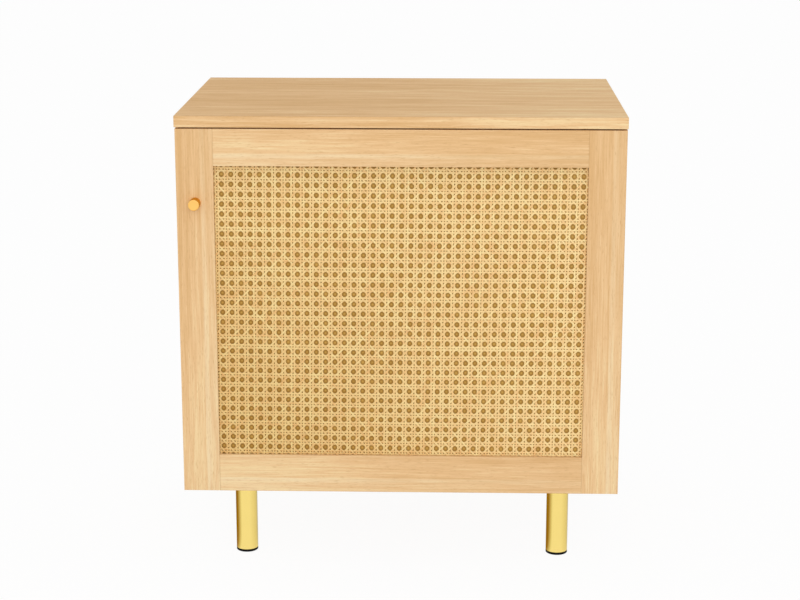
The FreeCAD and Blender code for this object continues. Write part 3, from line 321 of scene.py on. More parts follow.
@dataclass(frozen=True)
class OakFoil:
    """Oak decor on boards and frame members: light streaks, darker lines and short pores.

    A printed pore is about 0.2 mm wide.  Here it is drawn as coarse as it needs to be to show.

    Attributes:
        name: Material's name.
        grain: Direction of the grain.
        dark: Colour of the dark streaks.
        middle: Most frequent colour.
        light: Colour of the light streaks.
        pore: Colour of the pores.
        seam: Colour of the frame's joints.
        shift: Where in the pattern this piece lies.
        level: Change of the whole piece's tone.
        tones: Slow changes of tone, where the piece has them.
        weights: Strength of the broad, the middle and the fine streaks.
        bend: How far streaks swing sideways, in millimetres.
        joint: Distance of the frame's joints from the middle, in metres; 0 where there are none.
        joint_width: Width of the shade on each side of a joint, in millimetres.
        gloss: Specular level of the film.
        waves: Length and width in millimetres of the streaks' swings, octaves, and the strength
            of the finer octaves.
        figure: The same of the broad, the middle and the fine streaks and of the pores.
    """

    name: str
    grain: Axis
    dark: str = "DDB27C"
    middle: str = "EAC290"
    light: str = "F4D8A6"
    pore: str = "C0905A"
    seam: str = "B98C58"
    shift: Triple = (0.0, 0.0, 0.0)
    level: float = 0.0
    tones: ToneMap | None = None
    weights: Triple = (0.9, 1.2, 1.3)
    bend: float = 10.0
    joint: float = 0.0
    joint_width: float = 1.1
    gloss: float = 0.12
    waves: tuple[float, ...] = (150, 40, 1.0, 0.5)
    figure: tuple[tuple[float, ...], ...] = (
        (260, 20, 2.0, 0.5), (130, 6.0, 2.0, 0.6), (70, 1.6, 2.0, 0.65), (9, 0.6, 1.0, 0.5))

    def streaks(self, graph: Graph, sizes: tuple[float, ...], place: Socket | None = None) -> Socket:
        """Lay a noise drawn out along the grain, given by a row such as those of the figure."""
        along, across, detail, rough = sizes
        return Pattern(self.grain.sizes(along, across), detail, rough, self.shift).lay(graph, place)

    def build(self) -> bpy.types.Material:
        """Make the material.

        Returns:
            The oak foil.
        """
        graph = Graph(self.name, "pale oak print with fine streaks under a satin melamine film")
        aside = graph.swing(self.streaks(graph, self.waves), self.bend * MM, 0.0)
        push = graph.add("CombineXYZ", **{axis.name: aside for axis in Axis if axis != self.grain})
        moved = graph.add("VectorMath", graph.add("TexCoord", output="Object"), push,
                          operation="ADD")
        *streaks, pores = [self.streaks(graph, sizes, moved) for sizes in self.figure]
        tone: Any = 0.5 + self.level
        for noise, weight in zip(streaks, self.weights):
            tone = graph.swing(noise, weight, tone)
        if self.tones:
            tone = graph.add("Math", tone, self.tones.shift(graph, self.grain), operation="ADD")
        colour = graph.grade(tone, ((0.0, srgb(self.dark)), (0.5, srgb(self.middle)),
                                    (1.0, srgb(self.light))))
        if self.tones:
            colour = self.tones.paint(graph, self.grain, colour)
        # The pores are the peaks of their noise, and the print still shows through them.
        dashes = graph.add("MapRange", pores, From_Min=0.60, From_Max=0.74, To_Max=0.45)
        colour = graph.add("Mix", dashes, colour, srgb(self.pore), data_type="RGBA")
        if self.joint:
            across = graph.add("Math", graph.here()[0], operation="ABSOLUTE")
            away = graph.add("Math", across, self.joint, operation="SUBTRACT")
            away = graph.add("Math", away, operation="ABSOLUTE")
            shade = graph.add("MapRange", away, From_Max=self.joint_width * MM, To_Min=0.3,
                              To_Max=0.0)
            colour = graph.add("Mix", shade, colour, srgb(self.seam), data_type="RGBA")
        fine = streaks[-1]
        height = graph.add("Math", fine, dashes, operation="SUBTRACT")
        return graph.finish(
            Base_Color=colour, Roughness=graph.vary(fine, middle=0.64, reach=0.06), IOR=1.5,
            Specular_IOR_Level=self.gloss, Normal=graph.relief(height, depth=0.03, edge=0.5))


@dataclass(frozen=True)
class Lattice:
    """Where the holes of the stretched cane lie, in the panel's plane.

    Attributes:
        pitch_x: Hole to hole along a row, in metres.
        pitch_z: Row to row.
        lean_x: Shift to the right from a row to the next one up.
        lean_z: Rise from a hole to the next on its right.
        hole: Middle hole from the middle of the opening, X and Z.
        sag: How far the middle of a row hangs below its ends.
        fan: How far the outermost columns lean outwards at the bottom.
        centre: Middle of the opening, X and Z.
        reach: Half the panel's width and height.
    """

    pitch_x: float = 12.70 * MM
    pitch_z: float = 13.55 * MM
    lean_x: float = 0.14 * MM
    lean_z: float = -0.034 * MM
    hole: tuple[float, float] = (0.25 * MM, -0.85 * MM)
    sag: float = 1.05 * MM
    fan: float = 0.25 * MM
    centre: tuple[float, float] = field(default_factory=lambda: (0.0, (
        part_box("door_rail_bottom")[1].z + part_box("door_rail_top")[0].z) / 2))
    reach: tuple[float, float] = field(default_factory=lambda: tuple(
        (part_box("panel_backing")[1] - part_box("panel_backing")[0]).xz / 2))

    @property
    def origin(self) -> Array:
        """The middle hole, X and Z."""
        return np.array(self.centre) + self.hole

    @property
    def across(self) -> Array:
        """Vector from a hole to the next on its right."""
        return np.array([self.pitch_x, self.lean_z])

    @property
    def upward(self) -> Array:
        """Vector from a hole to the next one above."""
        return np.array([self.lean_x, self.pitch_z])

    @property
    def inverse(self) -> Array:
        """Matrix that turns a shift in metres into pitches across and up."""
        return np.linalg.inv(np.column_stack((self.across, self.upward)))

    def stretched(self, points: Array) -> Array:
        """Shift points as the stretched webbing does.

        Rows follow a parabola: they are lowered by the sag in the middle and not at their ends.
        Columns move outwards by the fan times the product of the distances from the middle line
        and downwards from the middle row, both as shares of the panel's half.

        Args:
            points: X and Z of each point, N by 2.

        Returns:
            The shifted points.
        """
        across, up = ((points - self.centre) / self.reach).T
        moved = points.copy()
        moved[:, 0] -= self.fan * across * up
        moved[:, 1] -= self.sag * (1 - across ** 2)
        return moved

    def measure(self, graph: Graph) -> tuple[list[Socket], list[Socket]]:
        """Measure where a point lies from the middle of the opening.

        Args:
            graph: Node tree to add to.

        Returns:
            Its distances to the right and up in metres, and both as shares of the panel's half.
        """
        x, _, z = graph.here()
        away = [graph.add("Math", here, middle, operation="SUBTRACT")
                for here, middle in zip((x, z), self.centre)]
        shares = [graph.add("Math", distance, half, operation="DIVIDE")
                  for distance, half in zip(away, self.reach)]
        return away, shares


@dataclass(frozen=True)
class PanelTone:
    """Slow change of the panel's tone from its lower left corner to its right side, and a painted
    shadow under the top rail.

    Attributes:
        tint: Colour factor in the lower left corner.
        level: Share of the tint in the middle.
        across: Change of that share from the middle to the right edge.
        up: Change from the middle to the top.
        twist: Change with both at once.
        under: Distance below the top rail in millimetres and factor of the colour there, a painted
            shadow of the rail on the panel.
    """

    tint: str = "F1EBDC"
    level: float = 0.35
    across: float = -0.43
    up: float = -0.22
    twist: float = 0.35
    under: Points = ((7, 0.89), (11, 0.94), (20, 0.945), (27, 0.97), (50, 1.0))

    def apply(self, graph: Graph, colour: Socket) -> Socket:
        """Tint a colour, and darken it under the top rail as painted shadow.

        Args:
            graph: Node tree to add to.
            colour: The colour.

        Returns:
            The tinted colour.
        """
        lattice = Lattice()
        (_, height), (across, up) = lattice.measure(graph)
        level = graph.add("Math", up, self.up, self.level, operation="MULTIPLY_ADD")
        slope = graph.add("Math", up, self.twist, self.across, operation="MULTIPLY_ADD")
        share = graph.add("Math", across, slope, level, operation="MULTIPLY_ADD")
        tinted = graph.add("Mix", 1.0, colour, srgb(self.tint), data_type="RGBA",
                           blend_type="MULTIPLY")
        colour = graph.add("Mix", share, colour, tinted, data_type="RGBA")
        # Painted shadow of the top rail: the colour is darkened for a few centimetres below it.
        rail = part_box("door_rail_top")[0].z - lattice.centre[1]
        below = graph.add("Math", height, -1 / MM, rail / MM, operation="MULTIPLY_ADD")
        return graph.add("Mix", 1.0, colour, graph.line(below, self.under), data_type="RGBA",
                         blend_type="MULTIPLY")


@dataclass(frozen=True)
class CaneSkin:
    """Split natural cane: pale yellow glossy skin with fine lengthwise fibres.

    The fibres are about 0.3 mm wide.  Their unevenness is drawn coarser, so that it shows.

    Attributes:
        name: Material's name.
        pale: Colour of the lightest strands.
        deep: Colour of the darkest strands.
        fleck: Colour of small darker spots.
        cloud: Slow change of tone.
        fibre: Unevenness of the fibres.
        spot: The spots' pattern.
    """

    name: str = "cane_split_natural"
    pale: str = "FFE5A6"
    deep: str = "F5C888"
    fleck: str = "C39553"
    cloud: Pattern = Pattern((9, 9, 9))
    fibre: Pattern = Pattern((1.4, 1.4, 1.4), rough=0.6)
    spot: Pattern = Pattern((3, 3, 3), 1.0, shift=(7, 3, 1))

    def build(self) -> bpy.types.Material:
        """Make the material.

        Returns:
            The cane skin.
        """
        graph = Graph(self.name, "pale yellow strands, each a little different, with a soft gloss")
        fibre = self.fibre.lay(graph)
        share = graph.add("Attribute", attribute_name="strand_tone", output="Fac")
        share = graph.swing(self.cloud.lay(graph), weight=1.5, base=share)
        share = graph.swing(fibre, weight=0.9, base=share)
        colour = graph.grade(share, ((0.0, srgb(self.deep)), (1.0, srgb(self.pale))))
        spots = graph.add("MapRange", self.spot.lay(graph), From_Min=0.64, From_Max=0.76,
                          To_Max=0.4)
        colour = graph.add("Mix", spots, colour, srgb(self.fleck), data_type="RGBA")
        # PanelTone also paints the top rail's shadow on the strands.
        return graph.finish(
            Base_Color=PanelTone().apply(graph, colour), IOR=1.5, Specular_IOR_Level=0.3,
            Roughness=graph.vary(fibre, middle=0.475, reach=0.075),
            Normal=graph.relief(fibre, depth=0.03))


@dataclass(frozen=True)
class ShadedBoard:
    """Brown board close behind the cane, with painted shade: darker next to the strands and a little
    lighter in the middle of each hole.

    Attributes:
        name: Material's name.
        near: Colour next to a strand, where the board is darkened as painted shade of the strands;
            also the darker fibres of the back.
        open: Colour in the middle of a hole.
        inner: Radius of the lighter middle, in millimetres.
        outer: Radius at which the darker ring of painted shade starts.
        back: Colour of the face towards the inside of the cabinet.
        fibre: Bundles of wood fibres.
        cloud: Slow change of tone.
    """

    name: str = "hardboard_stained_brown"
    near: str = "AA813C"
    open: str = "CEA356"
    inner: float = 0.4
    outer: float = 2.0
    back: str = "B98F55"
    fibre: Pattern = Pattern((1.8, 1.8, 1.8), 3.0, 0.6)
    cloud: Pattern = Pattern((14, 1, 14))

    def from_hole(self, graph: Graph) -> Socket:
        """Distance from the nearest hole's middle.

        The stretch of the webbing is taken back, the place is split into pitches across and up,
        and what is left beyond the nearest whole pitch is turned back into a length.

        Args:
            graph: Node tree to add to.

        Returns:
            The distance in metres.
        """
        lattice = Lattice()
        away, (across, up) = lattice.measure(graph)
        # To the right by fan x across x up, and up by sag - sag x across x across.
        stretch = ((up, lattice.fan, 0.0), (across, -lattice.sag, lattice.sag))
        flat = []
        for distance, hole, (factor, weight, rest) in zip(away, lattice.hole, stretch):
            product = graph.add("Math", across, factor, operation="MULTIPLY")
            back = graph.add("Math", product, weight, rest - hole, operation="MULTIPLY_ADD")
            flat.append(graph.add("Math", distance, back, operation="ADD"))
        squares = []
        for row, pitch in zip(lattice.inverse.tolist(), (lattice.pitch_x, lattice.pitch_z)):
            number = graph.add("Math", flat[1], row[1], operation="MULTIPLY")
            number = graph.add("Math", flat[0], row[0], number, operation="MULTIPLY_ADD")
            whole = graph.add("Math", number, operation="ROUND")
            left = graph.add("Math", number, whole, operation="SUBTRACT")
            left = graph.add("Math", left, pitch, operation="MULTIPLY")
            squares.append(graph.add("Math", left, left, operation="MULTIPLY"))
        return graph.add("Math", graph.add("Math", *squares, operation="ADD"), operation="SQRT")

    def build(self) -> bpy.types.Material:
        """Make the material.

        Returns:
            The board's material.
        """
        graph = Graph(self.name, "brown board that shows as dark spots in the cane's holes")
        fibre = self.fibre.lay(graph)
        # Painted shade: the board darkens from the middle of each hole towards the strands round it.
        share = graph.add("MapRange", self.from_hole(graph), From_Min=self.inner * MM,
                          From_Max=self.outer * MM, To_Min=1.0, To_Max=0.0)
        share = graph.swing(fibre, weight=0.8, base=share)
        share = graph.swing(self.cloud.lay(graph), weight=1.6, base=share)
        front = graph.grade(share, ((0.0, srgb(self.near)), (1.0, srgb(self.open))))
        # This also paints the top rail's shadow on the board.
        front = PanelTone().apply(graph, front)
        back = graph.grade(fibre, ((0.0, srgb(self.near)), (1.0, srgb(self.back))))
        middle = sum(corner.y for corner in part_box("panel_backing")) / 2
        inside = graph.add("Math", graph.here()[1], middle, operation="GREATER_THAN")
        return graph.finish(
            Base_Color=graph.add("Mix", inside, front, back, data_type="RGBA"), IOR=1.5,
            Roughness=graph.vary(fibre, middle=0.75, reach=0.05), Specular_IOR_Level=0.2,
            Normal=graph.relief(fibre, depth=0.03))


@dataclass(frozen=True)
class PlainBoard:
    """Board, raw wood or pressed block with a fibre pattern.

    Attributes:
        name: Material's name.
        note: What it gives the eye.
        dark: Darker colour.
        light: Lighter colour.
        size: Size of a fibre along X, Y and Z in millimetres.
        rough: Roughness.
        cloud: Size of the slow changes of tone, in fibres.
    """

    name: str
    note: str
    dark: str
    light: str
    size: Triple
    rough: float = 0.6
    cloud: float = 12

    def build(self) -> bpy.types.Material:
        """Make the material.

        Returns:
            The board's material.
        """
        graph = Graph(self.name, self.note)
        fibre = Pattern(self.size, 3.0, 0.6).lay(graph)
        cloud = Pattern(tuple(self.cloud * s for s in self.size), 1.0).lay(graph)
        tone = graph.swing(cloud, weight=0.8, base=fibre)
        colour = graph.grade(tone, ((0.25, srgb(self.dark)), (0.75, srgb(self.light))))
        return graph.finish(
            Base_Color=colour, Roughness=graph.vary(fibre, self.rough, reach=0.07), IOR=1.5,
            Normal=graph.relief(fibre, depth=0.04, edge=0.4))


@dataclass(frozen=True)
class Metal:
    """Plated or brushed metal.

    Polishing marks are finer than a tenth of a millimetre.  They are drawn coarser, so that they
    show.

    Attributes:
        name: Material's name.
        note: What it gives the eye.
        tint: Colour of its reflection.
        rough: Roughness.
        brush: Size of the brush marks along X, Y and Z in millimetres.
        depth: Depth of the marks in millimetres.
        even: Share of the tint that is left where it is dullest.
        edge_tint: Tint of what is seen in it at a grazing angle.
        smear: Slow change of its polish.
    """

    name: str
    note: str
    tint: str
    rough: float
    brush: Triple = (1.0, 1.0, 1.0)
    depth: float = 0.002
    even: float = 0.95
    edge_tint: str = "FFFFFF"
    smear: Pattern = Pattern((18, 18, 18))

    def build(self) -> bpy.types.Material:
        """Make the material.

        Returns:
            The metal.
        """
        graph = Graph(self.name, self.note)
        marks = Pattern(self.brush, 3.0, 0.7).lay(graph)
        smear = self.smear.lay(graph)
        worn = tuple(self.even * part for part in srgb(self.tint))
        colour = graph.grade(smear, ((0.35, worn), (0.65, srgb(self.tint))))
        dull = graph.vary(marks, self.rough, reach=0.03)
        dull = graph.swing(smear, weight=0.06, base=dull)
        return graph.finish(
            Base_Color=colour, Metallic=1.0, Roughness=dull, Specular_Tint=srgb(self.edge_tint),
            Normal=graph.relief(marks, self.depth, edge=0.25))


@dataclass(frozen=True)
class Moulded:
    """Moulded plastic or rubber with a fine spark-eroded grain.

    The real grain is about 0.1 mm.  It is drawn coarser, so that it shows.

    Attributes:
        name: Material's name.
        note: What it gives the eye.
        colour: Its colour.
        rough: Roughness.
        gloss: Specular level.
        grain: The eroded grain.
        scuff: Where the surface is rubbed.
    """

    name: str
    note: str
    colour: str
    rough: float = 0.45
    gloss: float = 0.5
    grain: Pattern = Pattern((0.5, 0.5, 0.5))
    scuff: Pattern = Pattern((7, 7, 7), 3.0, 0.65)

    def build(self) -> bpy.types.Material:
        """Make the material.

        Returns:
            The plastic.
        """
        graph = Graph(self.name, self.note)
        scuff = self.scuff.lay(graph)
        plain = srgb(self.colour)
        # Where it is rubbed it is a quarter lighter, and black turns a little grey.
        rubbed = tuple(min(1.0, 1.25 * part + 0.002) for part in plain)
        share = graph.add("MapRange", scuff, From_Min=0.55, From_Max=0.8, To_Max=0.5)
        return graph.finish(
            Base_Color=graph.add("Mix", share, plain, rubbed, data_type="RGBA"), IOR=1.46,
            Specular_IOR_Level=self.gloss, Roughness=graph.vary(scuff, self.rough, reach=0.08),
            Normal=graph.relief(self.grain.lay(graph), depth=0.02, edge=0.3))


Finish = OakFoil | ShadedBoard | PlainBoard | Metal | Moulded


def dress(names: Iterable[str], finish: Finish) -> None:
    """Give CAD nodes one finish.

    Args:
        names: CAD nodes.
        finish: Their finish.
    """
    material = finish.build()
    for name in names:
        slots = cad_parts[name].data.materials
        slots.clear()
        slots.append(material)
        LOG.info("%s wears %s", name, material.name)


# ------------------------------------------------------------------------------------------
# Woven cane
# ------------------------------------------------------------------------------------------


@dataclass
class CaneWeave:
    """Woven cane panel: upright and level pairs of strands and two runs of slanting ones.

    A strand is a ribbon along a straight line in the panel's plane.  Its distance from the
    middle plane follows where it is in the weave: at each crossing one strand lies in front of
    the middle and the other one behind it, by the same smooth bump.

    Attributes:
        lattice: Where the holes lie.
        pair_half: Half the distance between the strands of a pair, in metres.
        width: Width of a paired strand.
        slant_width: Width of a slanting strand.
        thick: Thickness of a strand.
        pair_swing: How far a paired strand goes to either side of the middle plane.
        slant_swing: The same for a slanting strand.
        bell: Half width of the bell curves of a paired strand's swing, in pitches.
        wander: Largest sideways wander of a strand.
        waves: Lengths over 2 pi of the two waves that a strand wanders in, in metres.
        uneven: Standard deviation of a strand's width, as a share of it.
        tones: Standard deviation of a strand's tone.
        margin: How far the strands stay away from the backing board's edges, in metres.
        samples: Stations per pitch along a strand.
        pairs: Upright and level pairs to either side of the middle hole.
        slants: Slanting strands of a run to either side of it.
        seed: Seed of the strands' small differences.
        rng: Random numbers that give these differences.
        low: Lowest X and Z that the strands may reach.
        high: Highest X and Z.
        middle_y: Y of the weave's middle plane.
    """

    lattice: Lattice = field(default_factory=Lattice)
    pair_half: float = 1.85 * MM
    width: float = 2.35 * MM
    slant_width: float = 2.3 * MM
    thick: float = 0.3 * MM
    pair_swing: float = 0.28 * MM
    slant_swing: float = 0.42 * MM
    bell: float = 0.10
    wander: float = 0.16 * MM
    waves: tuple[float, float] = (0.061, 0.023)
    uneven: float = 0.05
    tones: float = 0.20
    margin: float = 1.5 * MM
    samples: float = 6.0
    pairs: tuple[int, int] = (22, 18)
    slants: int = 60
    seed: int = 11
    rng: np.random.Generator = field(init=False, repr=False)
    low: Array = field(init=False, repr=False)
    high: Array = field(init=False, repr=False)
    middle_y: float = field(init=False)

    def __post_init__(self) -> None:
        """Start the random numbers and read the panel's place from the CAD nodes."""
        self.rng = np.random.default_rng(self.seed)
        low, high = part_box("panel_backing")
        self.low = np.array(low.xz) + self.margin
        self.high = np.array(high.xz) - self.margin
        self.middle_y = (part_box("cane_slant_rising")[0].y + low.y) / 2

    def lines(self, start: Array, heading: Array) -> tuple[Array, Array, Array, Array]:
        """Trim straight lines to the panel.

        Args:
            start: A point of each line, N by 2.
            heading: Direction shared by the lines.

        Returns:
            Kept start points, the unit direction, and where each line enters and leaves.
        """
        unit = heading / np.linalg.norm(heading)
        with np.errstate(divide="ignore"):
            first = (self.low - start) / unit
            second = (self.high - start) / unit
        enter = np.minimum(first, second).max(axis=1)
        leave = np.maximum(first, second).min(axis=1)
        kept = leave - enter > 2 * self.width
        return start[kept], unit, enter[kept], leave[kept]

    def mesh(self, name: str, vertices: Array, counts: Array) -> bpy.types.Mesh:
        """Close rings of points into tubes with flat ends.

        Each corner of a ring is joined to the same corner of the next ring on its strand, and a
        strand's first and last ring are faces of their own.

        Args:
            name: Name of the mesh.
            vertices: Rings by corners by 3, strand after strand.
            counts: Number of rings of each strand.

        Returns:
            The mesh.
        """
        rings, corners, _ = vertices.shape
        last = np.cumsum(counts) - 1
        first = last + 1 - counts
        ring = np.arange(corners)
        here = np.delete(np.arange(rings), last)[:, None] * corners + ring
        there = here + corners
        turn = np.roll(ring, -1)
        quads = np.stack((here, there, there[:, turn], here[:, turn]), axis=-1).reshape(-1, 4)
        ends = np.concatenate((first[:, None] * corners + ring,
                               last[:, None] * corners + ring[::-1]))
        loops = np.concatenate((quads.ravel(), ends.ravel()))
        sizes = np.concatenate((np.full(len(quads), 4), np.full(len(ends), corners)))
        mesh = bpy.data.meshes.new(name)
        mesh.vertices.add(rings * corners)
        mesh.vertices.foreach_set("co", vertices.astype(np.float32).ravel())
        mesh.loops.add(len(loops))
        mesh.loops.foreach_set("vertex_index", loops.astype(np.int32))
        mesh.polygons.add(len(sizes))
        mesh.polygons.foreach_set("loop_start", (np.cumsum(sizes) - sizes).astype(np.int32))
        mesh.update(calc_edges=True)
        mesh.validate()
        return mesh

    def ribbons(self, name: str, start: Array, heading: Array, width: float,
                swing: Callable[[Array], Array]) -> bpy.types.Object:
        """Build one run of strands as a single mesh.

        Stations lie evenly along each strand.  At a station the section is a flat back, two low
        sides and a crown; it is moved sideways by a slow wave and forwards by the weave's swing.

        Args:
            name: Name of the piece.
            start: A point of each strand's line.
            heading: Direction of the strands.
            width: Width of a strand.
            swing: Function that gives the distance in front of the middle plane from the place
                in pitches across and up.

        Returns:
            The piece.
        """
        start, unit, enter, leave = self.lines(start, heading)
        strands = len(start)
        side = np.array([unit[1], -unit[0]])
        step = self.lattice.pitch_z / self.samples
        counts = np.maximum(3, np.ceil((leave - enter) / step).astype(int) + 1)
        owner = np.repeat(np.arange(strands), counts)
        index = np.arange(counts.sum()) - (np.cumsum(counts) - counts)[owner]
        along = enter[owner] + (leave - enter)[owner] * index / (counts[owner] - 1)
        straight = start[owner] + along[:, None] * unit
        ahead = swing((straight - self.lattice.origin) @ self.lattice.inverse.T)
        phase = self.rng.uniform(0, 2 * np.pi, (strands, 2))
        wave = sum(np.sin(along / length + phase[owner, number])
                   for number, length in enumerate(self.waves))
        middle = self.lattice.stretched(straight + (0.5 * self.wander * wave)[:, None] * side)
        wide = width * (1 + self.uneven * self.rng.standard_normal(strands))[owner]
        tone = np.clip(0.5 + self.tones * self.rng.standard_normal(strands), 0, 1)[owner]

        # Corners of the section, sideways and forwards, in widths and thicknesses.
        section = np.array([[-0.5, -0.5], [-0.5, 0.0], [0.0, 0.5], [0.5, 0.0], [0.5, -0.5]])
        corners = len(section)
        sideways = wide[:, None] * section[:, 0]
        vertices = np.empty((len(middle), corners, 3))
        vertices[:, :, 0] = middle[:, None, 0] + sideways * side[0]
        vertices[:, :, 1] = self.middle_y - (ahead[:, None] + self.thick * section[:, 1])
        vertices[:, :, 2] = middle[:, None, 1] + sideways * side[1]
        strips = self.mesh(name, vertices, counts)
        attribute = strips.attributes.new("strand_tone", "FLOAT", "POINT")
        attribute.data.foreach_set("value", np.repeat(tone, corners).astype(np.float32))
        return put(name, strips)

    def pair_starts(self, vector: Array, reach: int) -> Array:
        """Points on the strands of every pair.

        Args:
            vector: Lattice vector from one pair to the next.
            reach: How many pairs to either side.

        Returns:
            A point on each strand.
        """
        numbers, sides = np.meshgrid(np.arange(-reach, reach), (-1, 1), indexing="ij")
        share = numbers + 0.5 + sides * self.pair_half / np.linalg.norm(vector)
        return self.lattice.origin + share.reshape(-1, 1) * vector

    def weave(self, place: Array, along: int) -> Array:
        """Swing of paired strands.

        Around a crossing with a pair, a strand is in front at one member and behind at the
        other: a bell curve around the one minus a bell curve around the other.

        Args:
            place: Pitches across and up of each station.
            along: 0 where the strands run across, 1 where they run up.

        Returns:
            Distance in front of the middle plane.
        """
        own = place[:, 1 - along]
        own_number = np.floor(own)
        own_side = np.sign(own - own_number - 0.5)
        number = np.floor(place[:, along])
        parity = 1 - 2 * np.mod(own_number + number, 2)
        sign = 1.0 if along == 1 else -1.0
        half = self.pair_half / self.lattice.pitch_x
        away = place[:, along] - number - 0.5
        bump = (np.exp(-((away - half) / self.bell) ** 2)
                - np.exp(-((away + half) / self.bell) ** 2))
        return sign * self.pair_swing * own_side * parity * bump

    def slant(self, place: Array, sign: float) -> Array:
        """Swing of rising (1) or falling (-1) strands: before one pair and behind the next."""
        return sign * self.slant_swing * np.cos(2 * np.pi * place[:, 1])

    def build(self) -> None:
        """Build the four runs of strands in front of the CAD nodes that they replace."""
        across, upward = self.lattice.across, self.lattice.upward
        upright = self.pair_starts(across, self.pairs[0])
        level = self.pair_starts(upward, self.pairs[1])
        numbers = np.arange(-self.slants, self.slants) + 0.5
        slants = self.lattice.origin + numbers[:, None] * across
        runs = (
            ("cane_upright_strands", "cane_upright_pairs", upright, upward, self.width,
             lambda place: self.weave(place, 1)),
            ("cane_level_strands", "cane_level_pairs", level, across, self.width,
             lambda place: self.weave(place, 0)),
            ("cane_rising_strands", "cane_slant_rising", slants, across + upward,
             self.slant_width, lambda place: self.slant(place, 1.0)),
            ("cane_falling_strands", "cane_slant_falling", slants, across - upward,
             self.slant_width, lambda place: self.slant(place, -1.0)),
        )
        material = CaneSkin().build()
        for name, node, start, heading, width, swing in runs:
            piece = self.ribbons(name, start, heading, width, swing)
            piece.data.materials.append(material)
            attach(piece, "door")
            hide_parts(node)
            LOG.info("%s: %d faces", name, len(piece.data.polygons))


# ------------------------------------------------------------------------------------------
# Sub-assemblies made of CAD nodes
# ------------------------------------------------------------------------------------------


@dataclass
class Cabinet:
    """Top, sides, bottom, back, shelf and dowels.

    Attributes:
        top_along: Change of the top's tone by the distance from its left end; it stays mostly below
            zero, a painted shade that keeps the top darker than the other boards of the same foil,
            while its rise to the right is the board's own tone.
        top_across: Change of its tone by the distance from its front edge.
    """

    top_along: Points = ((50, -0.24), (280, -0.20), (500, 0.06))
    top_across: Points = (
        (0, 0.0), (6, 0.12), (80, 0.04), (150, -0.14), (220, 0.10), (255, 0.12), (315, -0.12),
        (370, 0.06))

    def build(self) -> None:
        """Give every wooden node of the cabinet its finish."""
        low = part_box("top_panel")[0]
        tones = ToneMap(end=low.x, along=self.top_along, side=Axis.Y, edge=low.y, way=1,
                        across=self.top_across)
        # Painted shade: the top's tone is set darker than the other boards of this foil.
        dress(["top_panel"], OakFoil("oak_foil_top", Axis.X, shift=(5.6, 7.7, 1.4), tones=tones,
                                     weights=(0.8, 1.7, 1.4), gloss=0.05))
        boards = (("side_panel_left", "left_side", Axis.Z, (2.0, 5.5, 8.0)),
                  ("side_panel_right", "right_side", Axis.Z, (6.0, 1.5, 4.0)),
                  ("bottom_panel", "bottom", Axis.X, (9.0, 2.5, 0.0)),
                  ("shelf", "shelf", Axis.X, (4.0, 6.5, 7.0)))
        for node, name, grain, shift in boards:
            dress([node], OakFoil("oak_foil_" + name, grain, shift=shift))
        dress(["back_panel"], PlainBoard(
            "hardboard_printed", "thin back with a pale printed face", dark="C9A273",
            light="DDBB8C", size=(60, 2, 1.6)))
        dress(["carcass_dowels", "frame_dowels"], PlainBoard(
            "beech_turned", "pale raw dowels", dark="CDA877", light="E2C79C",
            size=(6, 0.6, 0.6)))


@dataclass
class DoorFrame:
    """Stiles, rails, backing board and beads of the door.

    All four members show the same stretch of the printed foil, turned with the member.

    Attributes:
        joint: Distance of the joints between stiles and rails from the middle, in metres.
        along: Change of tone by the distance from the lower or left end.
        across: Change of tone by the distance from the left or upper edge.
        streak: Distance of the pale streak from that edge in millimetres.
    """

    joint: float = field(default_factory=lambda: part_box("door_rail_top")[1].x)
    along: Points = ((40, 0.26), (250, -0.05), (450, -0.20))
    across: Points = ((0, -0.04), (3, -0.16), (7, -0.13), (21, 0.02), (28, 0.03), (31, -0.07),
                      (34, 0.02), (41, -0.06))
    streak: float = 35.5

    def member(self, node: str, shift: Triple, level: float, last: Points = ()) -> None:
        """Give one frame member its foil.

        Args:
            node: The member.
            shift: Where in the pattern it lies.
            level: Change of its whole tone.
            last: Further changes of tone towards its last edge, painted light and shade on its eased
                edge.
        """
        _, kind, side = node.split("_")
        name = "oak_foil_%s_%s" % (side, kind)
        low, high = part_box(node)
        if kind == "stile":
            grain, end, across, edge, way = Axis.Z, low.z, Axis.X, low.x, 1
        else:
            grain, end, across, edge, way = Axis.X, low.x, Axis.Z, high.z, -1
        tones = ToneMap(end, self.along, across, edge, way, self.across + last, self.streak)
        dress([node], OakFoil(name, grain, shift=shift, level=level, tones=tones,
                              weights=(0.4, 0.7, 1.6), bend=5.0, joint=self.joint))

    def build(self) -> None:
        """Give every wooden node of the door its finish."""
        # Painted highlight: the left stile is lighter along its eased inner edge.
        self.member("door_stile_left", shift=(1.3, 4.0, 2.9), level=0.0,
                    last=((47.5, -0.06), (48.7, 0.16)))
        # Painted shade: the right stile is darker along its outer edge.
        self.member("door_stile_right", shift=(5.7, 2.0, 6.8), level=-0.05,
                    last=((48.5, -0.06), (50, -0.35)))
        self.member("door_rail_top", shift=(2.9, 8.0, 3.3), level=-0.09)
        # Painted highlight and then painted shade: a lighter line and a darker one along the bottom
        # rail's lower edge.
        self.member("door_rail_bottom", shift=(7.4, 3.0, 5.2), level=0.05,
                    last=((48, -0.06), (49.5, 0.2), (50.6, 0.2), (52, -0.5)))
        dress(["panel_bead_left", "panel_bead_right"], OakFoil("oak_bead_z", Axis.Z))
        dress(["panel_bead_top", "panel_bead_bottom"], OakFoil("oak_bead_x", Axis.X))
        dress(["panel_backing"], ShadedBoard())


